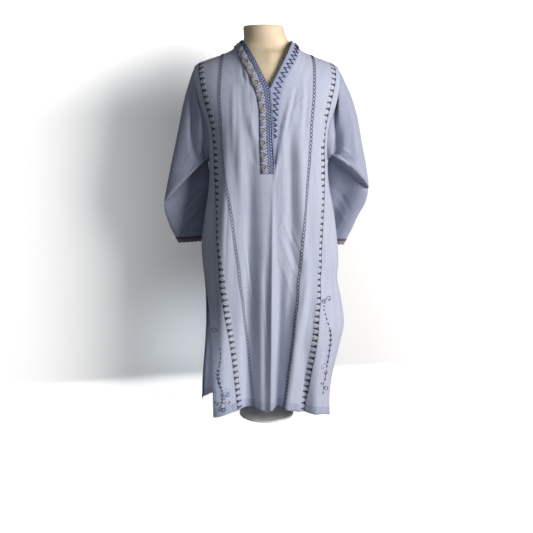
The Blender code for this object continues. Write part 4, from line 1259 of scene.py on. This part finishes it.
# sections of the right and the left sleeve, both written for the +X side: underarm x, y, z, outer
# edge x, y, z, fullness front and back; they fan out from the underarm down to the overhang, which
# ends the upper sleeve, and the six after it hang behind its fold, inward and to the back
SLEEVE_SECTIONS = {
    "cap": ((171.5, 0, 747.5, 214, 0, 972, 50, 52), (164, 0, 747.5, 207, 0, 972, 43, 52)),
    "upper arm": ((172.5, -2, 750, 238, 0, 922, 47, 50), (165.5, -2, 749, 224, 0, 920, 35, 50)),
    "biceps": ((174, -5, 754, 256, 0, 864, 44, 47), (166, -6, 751, 238.5, 0, 856, 29, 47)),
    "above the elbow": ((175, -9, 758.5, 269, 1, 800, 41, 44),
                        (166.5, -11, 753, 254.5, 1, 784, 25, 44)),
    "elbow": ((176, -13, 763.5, 283, 3, 738, 37, 41), (165.5, -16, 755.5, 271, 3, 712, 22, 41)),
    "overhang": ((177, -18, 769, 295, 7, 669, 30, 38), (165.5, -21, 758, 286.5, 7, 634, 19, 38)),
    "tuck": ((180, -3, 773, 296, 11, 667, 4, 36), (164, -4, 760, 282.5, 12, 642, 2, 36)),
    "under the fold": ((180.5, 22, 743, 296.5, 16, 650, 10, 34),
                       (160.8, 22, 730, 287, 16, 622, 8, 34)),
    "forearm": ((181.5, 50, 700, 291, 25, 620, 14, 31), (153.5, 52, 686, 281, 24, 592, 14, 31)),
    "middle forearm": ((177, 84, 642, 274, 36, 584, 18, 26), (153, 84, 640, 272, 31, 565, 18, 26)),
    "lower forearm": ((157, 112, 578, 260, 46, 546, 19, 23),
                      (141, 112, 581, 264, 38, 546, 19, 23)),
    "cuff": ((130, 134, 516, 246, 56, 512, 18, 21), (120, 134, 526, 256, 46, 529, 18, 21)),
}
SLEEVE_RINGS = 130
SLEEVE_ROUND = 0.40       # length round the sleeve, from the underarm over the front to the back
# creases: place round the sleeve and length down it of one end, the same of the other end,
# depth (outward is positive), half width, bow to the side
SLEEVE_CREASES = {
    "drag from the underarm": (20, 50, 110, 160, 2, 6, 6),
    "drag under it": (14, 80, 100, 200, -1.8, 6, 6),
    "slack in the forearm": (50, 290, 150, 330, -1.8, 8, 5),
    "roll in the forearm": (60, 330, 150, 370, 1.6, 8, 5),
    "hollow at the back": (300, 60, 320, 210, -2.4, 10, 4),
    "drag at the back": (380, 60, 290, 180, 2, 7, 6),
    "slack behind the elbow": (260, 200, 340, 240, -2, 8, 4),
}
LEFT_CREASES = SLEEVE_CREASES | {
    "roll beside the armhole": (118, -10, 46, 120, 7, 20, 0),
    "valley beside the roll": (172, 10, 62, 150, -11, 11, 0),
}
RIGHT_CREASES = SLEEVE_CREASES | {
    "hollow beside the armhole": (106, -30, 40, 130, -19, 20, 0),
    "valley down the forearm": (100, 200, 96, 470, -12, 30, 0),
    "roll beside the hollow": (152, 20, 106, 190, 6, 16, 0),
}


def armhole_ring(side):
    """The armhole's points moved out on to the panels: underarm, front, tip, back, underarm."""
    edge = 0 if side < 0 else -1
    panels = (front_points, front_normals), (back_points, back_normals)
    front, back = [grid[edge, UNDERARM_ROW:] + normals[edge, UNDERARM_ROW:] * ARM_LIFT
                   for grid, normals in panels]
    return np.vstack([front, back[-2::-1]])


def sleeve_sections(side, table):
    rings = [armhole_ring(side)]
    turn = np.linspace(0, 2 * math.pi, len(rings[0]))
    for row in table:
        inner, outer = row[:3] * (side, 1, 1), row[3:6] * (side, 1, 1)
        line = outer - inner
        facing_out = np.array([line[1], -line[0], 0.0]) * side
        facing_out /= np.linalg.norm(facing_out)
        swell = np.where(np.sin(turn) >= 0, *row[6:]) * np.sin(turn)
        rings.append((inner + outer) / 2 - line / 2 * np.cos(turn)[:, None]
                     + facing_out * swell[:, None])
    return np.array(rings)


def sleeve_points(side, table, creases):
    """Many rings through the sections, spaced evenly along the sleeve."""
    sections = sleeve_sections(side, table)
    steps = np.linalg.norm(np.diff(sections, axis=0), axis=-1).mean(axis=1)
    marks = np.append(0, np.cumsum(steps))
    wanted = np.linspace(0, marks[-1], SLEEVE_RINGS)
    points = np.array([[through(wanted, marks, values) for values in column.T]
                       for column in sections.transpose(1, 0, 2)]).transpose(0, 2, 1)
    out = np.cross(np.gradient(points, axis=0), np.gradient(points, axis=1)) * -side
    out /= np.maximum(np.linalg.norm(out, axis=-1, keepdims=True), 1e-9)
    round_arm = np.linspace(0, SLEEVE_ROUND, len(points))[:, None] + np.zeros(SLEEVE_RINGS)
    down_arm = wanted + np.zeros((len(points), 1))
    return points + out * crease_depth(creases, round_arm, down_arm)[..., None]


# painted shade: the sleeves' chambray is painted a little darker than the body's, for the shade
# they hang in
sleeve_painted_shade_chambray = chambray_finish("sleeve chambray painted shade", pale=srgb(164, 169, 190),
                                deep=srgb(150, 155, 180), faced=False)
sections = metres(SLEEVE_SECTIONS)
sleeve_grids = {}
for side, word, table, creases in ((-1, "left", sections[:, 1], LEFT_CREASES),
                                   (1, "right", sections[:, 0], RIGHT_CREASES)):
    points = sleeve_points(side, table, metres(creases))
    sleeve_grids[word] = points
    sleeve = cloth_piece(f"sleeve_cloth_{word}", points[:, ::-1], [sleeve_painted_shade_chambray], CLOTH,
                         flip=side < 0, free_sides=False)
    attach(sleeve, "root")
    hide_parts(f"sleeve_{word}")

# ---------------------------------------------------------------- cuff lace
# Two centimetres of cotton lace hang below each cuff: a brown braid along the seam, a grey net
# of diamonds, and a brown cord along the scalloped edge.  The net is worked on a fine gauze.

LACE = 0.0005             # gauze
LACE_DEPTH = 0.0165       # down to the hollows of the scallops
SCALLOP = 0.0035
SCALLOPS = 28
BRAID = 0.0060            # depth of the braid along the seam
GAUZE_TOP = 0.0006        # from the cuff's edge to the gauze


def gauze_finish():
    made, n, shader = new_finish("grey gauze", 0.9, sheen=0.1)
    threads = n.group(weave, Vector=n.uv("Cut"), Threads=900.0)
    yarn = n.ramp(threads["Yarn"], 0.4, 0.6)
    n.feed(shader["Base Color"], n.mix(yarn, srgb(126, 120, 132), srgb(150, 143, 154)))
    n.feed(shader["Normal"], n.bump(threads["Height"], 0.6, 0.0005))
    return made


class Cuff:
    """The strip below a cuff: metres round it and metres down from its edge."""

    def __init__(self, grid):
        self.ring = grid[:, -1]
        self.fall = (grid[:, -1] - grid[:, -6]).mean(axis=0)
        self.fall /= np.linalg.norm(self.fall)
        self.run = np.append(0, np.cumsum(np.linalg.norm(np.diff(self.ring, axis=0), axis=1)))
        self.length = self.run[-1]
        out = np.cross(np.gradient(self.ring, axis=0), self.fall)
        out /= np.linalg.norm(out, axis=1, keepdims=True)
        spread = ((self.ring - self.ring.mean(axis=0)) * out).sum()
        self.out = out if spread > 0 else -out

    def place(self, local):
        around = np.mod(local[:, 0], self.length)
        spot, out = [np.stack([np.interp(around, self.run, values[:, k]) for k in range(3)], -1)
                     for values in (self.ring, self.out)]
        return spot + self.fall * local[:, 1:2] + out * local[:, 2:3]


def scallop_drop(around, length):
    return LACE_DEPTH + SCALLOP * np.abs(np.sin(around / length * SCALLOPS * math.pi))


def lace_gauze(word, cuff):
    around = np.linspace(0, cuff.length, SCALLOPS * 10 + 1)
    share = np.linspace(0, 1, 9)
    down = GAUZE_TOP + (scallop_drop(around, cuff.length)[:, None] - GAUZE_TOP) * share
    local = np.stack([np.broadcast_to(around[:, None], down.shape), down, np.zeros_like(down)], -1)
    points = cuff.place(local.reshape(-1, 3)).reshape(local.shape)
    piece = cloth_piece(f"cuff_gauze_{word}", points, [gauze], LACE, free_sides=False)
    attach(piece, "root")
    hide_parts(f"cuff_lace_{word}")


def lace_threads(name, cuff):
    work = Needlework()
    face = LACE / 2
    half = cuff.length / (SCALLOPS * 2)
    deep = LACE_DEPTH - 0.0010
    levels = np.linspace(BRAID, deep, 3)
    for phase in (0, 1):
        for low, high in zip(levels, levels[1:]):
            path = [(k * half, high if (k + phase) % 2 else low) for k in range(SCALLOPS * 2 + 1)]
            work.cord(path, 0.0004, PEWTER, sides=4, above=face)
    for down, radius, looks in ((BRAID, 0.0007, BROWN), (0.0012, 0.0007, BROWN),
                                (deep, 0.0005, PEWTER)):
        work.line(0, cuff.length, down, 120, radius, looks, above=face)
    ticks = SCALLOPS * 3
    for start in (np.arange(ticks) + 0.2) * cuff.length / ticks:
        work.cord([(start, 0.0018), (start + 0.0022, BRAID - 0.0008)], 0.0009, BROWN, sides=4,
                  above=face)
    around = np.linspace(0, cuff.length, SCALLOPS * 12 + 1)
    edge = np.stack([around, scallop_drop(around, cuff.length) - 0.0004], -1)
    work.cord(edge, 0.0008, BROWN, above=face - 0.0003)
    return work.sew(name, cuff.place, LACE_THREADS)


gauze = gauze_finish()
LACE_THREADS = [thread_finish("pewter thread", srgb(160, 154, 164)),
                thread_finish("brown thread", srgb(104, 86, 92))]
PEWTER, BROWN = range(len(LACE_THREADS))
for word, grid in sleeve_grids.items():
    cuff = Cuff(grid)
    lace_gauze(word, cuff)
    lace_threads(f"cuff_threads_{word}", cuff)

# ---------------------------------------------------------------- vines on the skirt corners
# A stitched vine climbs beside each tooth border: a stem with paired leaves, tendrils that curl
# over at its ends, and small blossoms.  The threads pass from navy to maroon down the stem.

VINE_LEFT = metres(((-142, 60), (-133, 105), (-145, 160), (-136, 220), (-146, 285)))
VINE_RIGHT = metres(((150, 86), (156, 130), (162, 175), (169, 220), (172, 262), (160, 305),
                     (149, 342), (158, 368)))
LEAF = 0.0120             # length of a leaf
STEM_STEPS = 80           # points along a stem


def curl(start, way, turns, size, hand):
    """A tendril that winds in from its start."""
    t = np.linspace(0, 1, 18)
    radius = size * (1 - t) ** 0.8
    angle = way + hand * t * turns * 2 * math.pi
    middle = np.array(start) + size * np.array([-math.sin(way), math.cos(way)]) * hand
    spots = middle + np.stack([np.sin(angle), -np.cos(angle)], -1) * radius[:, None] * hand
    return spots


def blossom(work, spot, size, looks):
    """Five petals round a pale eye."""
    for k in range(5):
        angle = (k / 5 + 0.05) * 2 * math.pi
        petal = np.array(spot) + size * np.array([math.cos(angle), math.sin(angle)])
        work.cord(dot(petal, size * 0.50, 7), 0.0007, looks[k % len(looks)], closed=True)
    work.pad(dot(spot, size * 0.34, 7), 0.0009, ROSE)


def vine(name, bends, leaves, dashes, tendrils, blossoms):
    """A stitched stem through its bends.  Places along it are shares of its length from the hem."""
    work = Needlework()
    marks = np.linspace(0, 1, len(bends))
    fine = np.linspace(0, 1, STEM_STEPS + 1)
    stem = np.stack([through(fine, marks, values) for values in bends.T], -1)
    way = np.gradient(stem, axis=0)
    way /= np.linalg.norm(way, axis=1, keepdims=True)
    aside = np.stack([-way[:, 1], way[:, 0]], -1)

    def leaf(number, grown, hand):
        root = stem[number]
        line = (way[number] * 0.88 + aside[number] * hand * 0.48) * grown
        across = np.array([-line[1], line[0]]) * 0.13
        return [root + line * along + across * wide for along, wide in
                ((0.20, 0), (0.50, -1), (0.82, -0.7), (1, 0), (0.82, 0.7), (0.50, 1))]

    for first, last, looks in dashes:
        for number in range(int(first * STEM_STEPS), int(last * STEM_STEPS) - 1, 4):
            work.cord(stem[number:number + 3], 0.0012, looks)
    for first, last, looks in leaves:
        first, last = int(first * STEM_STEPS), int(last * STEM_STEPS)
        work.cord(stem[first:last + 1], 0.0008, looks)
        for number in range(first, last, 4):
            grown = LEAF * (0.65 + 0.35 * math.sin((number - first) / (last - first) * math.pi))
            for hand in (-1, 1):
                work.pad(leaf(number, grown, hand), 0.0007, looks)
    for share, way_out, size, hand, looks in tendrils:
        work.cord(curl(stem[int(share * STEM_STEPS)], way_out, 1.1, size, hand), 0.0008, looks)
    for share, out, size, looks in blossoms:
        number = int(share * STEM_STEPS)
        blossom(work, stem[number] + aside[number] * out, size, looks)

    def place(local):
        points, normals = surface("front", *chart("front", local[:, 0], local[:, 1]))
        return points + normals * (TRIM_RISE + local[:, 2])[:, None]

    work.sew(name, place, THREADS)


UP = math.pi / 2
vine("vine_left", VINE_LEFT,
     leaves=((0.34, 0.56, NAVY), (0.12, 0.28, MAROON)),
     dashes=((0.56, 0.84, NAVY), (0.26, 0.34, MAROON)),
     tendrils=((0.99, UP, 0.0100, 1, NAVY), (0.30, UP, 0.0110, -1, SKY),
               (0.14, 0.0, 0.0100, -1, MAROON), (0.08, math.pi, 0.0080, 1, NAVY),
               (0.20, 0.4, 0.0080, 1, SKY), (0.02, UP, 0.0085, -1, MAROON)),
     blossoms=((0.26, -0.0110, 0.0046, (SKY, NAVY)), (0.15, -0.0130, 0.0048, (MAROON, ROSE)),
               (0.11, 0.0120, 0.0042, (NAVY, SKY)), (0.03, -0.0090, 0.0044, (SKY, MAROON))))
vine("vine_right", VINE_RIGHT,
     leaves=((0.30, 0.66, NAVY), (0.14, 0.22, MAROON)),
     dashes=((0.68, 0.92, NAVY), (0.02, 0.12, MAROON), (0.22, 0.30, MAROON)),
     tendrils=((0.99, UP, 0.0100, -1, NAVY), (0.28, UP, 0.0120, 1, SKY),
               (0.06, UP, 0.0090, -1, MAROON)),
     blossoms=((0.95, 0.0060, 0.0050, (NAVY, SKY)), (0.12, 0.0080, 0.0044, (MAROON, ROSE))))

# ---------------------------------------------------------------- floor, light and camera
# A plain pale studio sweep stands close behind the form, so that its shade falls softly to the
# left.  A warm key from the right, a weak cool fill and a small low light show the cloth.


def stage_finish():
    """Matt white paper with painted light: it glows most on its floor, and on its wall more towards
    the left and the top.
    """
    made, n, shader = new_finish("studio white", 0.9)
    shader["Base Color"].default_value = (0.92, 0.92, 0.92, 1.0)
    shader["Emission Color"].default_value = (1.0, 1.0, 1.0, 1.0)
    x, _, z = n.parts(n.place())
    # painted light: glow that lifts the wall towards the left and the top, and the floor most of
    # all
    side = n.ramp(x, -0.80, -0.12, 0.52, 0.12)
    top = n.ramp(z, 0.85, 1.15, 0.0, 0.45)
    floor = n.ramp(z, 0.0, 0.07, 0.9, 0.0)
    n.feed(shader["Emission Strength"], n.math("MAXIMUM", n.math("ADD", side, top), floor))
    return made


SWEEP_DEPTH = 0.26
SWEEP_BEND = 0.05


def sweep():
    start = SWEEP_DEPTH - SWEEP_BEND
    profile = [(-6.0, 0.0), (start, 0.0),
               *((start + SWEEP_BEND * math.sin(a), SWEEP_BEND - SWEEP_BEND * math.cos(a))
                 for a in np.linspace(0, math.pi / 2, 12)[1:]),
               (SWEEP_DEPTH, 6.0)]
    points = np.array([[(x, y, z - 0.0002) for y, z in profile] for x in (-8.0, 8.0)])
    paper = add_piece("studio_sweep", points, grid_faces(*points.shape[:2]), [stage_finish()])
    paper.visible_diffuse = False
    paper.visible_glossy = False
    return paper


sweep()


def area_light(name, place, aim, size, power, colour, spread=math.pi):
    lamp = bpy.data.lights.new(name, "AREA")
    lamp.shape = "RECTANGLE"
    lamp.size, lamp.size_y = size
    lamp.energy = power
    lamp.spread = spread
    lamp.color = colour
    holder = bpy.data.objects.new(name, lamp)
    holder.location = place
    way = np.array(aim) - np.array(place)
    holder.rotation_euler = (math.acos(way[2] / np.linalg.norm(way)) + math.pi,
                             0.0, math.atan2(way[1], way[0]) + math.pi / 2)
    bpy.context.scene.collection.objects.link(holder)


COOL = (0.84, 0.92, 1.0)
area_light("key", (2.0, -1.85, 1.2), (0.0, 0.0, 0.62), (1.4, 1.6), 101.0, (1.0, 0.985, 0.96))
area_light("low bounce", (-0.50, -1.55, 0.06), (-0.22, 0.05, 0.14), (0.16, 0.10), 0.12, COOL,
           spread=math.radians(16))
area_light("fill", (-2.2, -2.6, 1.4), (0.0, 0.0, 0.6), (2.0, 2.0), 15.0, COOL)

world = bpy.data.worlds.new("studio")
world.use_nodes = True
world.node_tree.nodes["Background"].inputs["Color"].default_value = (0.95, 0.97, 1.0, 1.0)
world.node_tree.nodes["Background"].inputs["Strength"].default_value = 0.07
bpy.context.scene.world = world
bpy.context.scene.view_settings.view_transform = "Standard"

CAMERA_PLACE = (-0.268, -2.184, 0.885)
CAMERA_FORWARD = (0.1195, 0.9733, -0.1959)
camera_data = bpy.data.cameras.new("camera")
camera_data.lens = 52.68
camera_data.sensor_width = 36.0
camera = bpy.data.objects.new("camera", camera_data)
camera.location = CAMERA_PLACE
camera.rotation_euler = (math.acos(-CAMERA_FORWARD[2]), 0.0,
                         math.atan2(-CAMERA_FORWARD[0], CAMERA_FORWARD[1]))
bpy.context.scene.collection.objects.link(camera)
bpy.context.scene.camera = camera
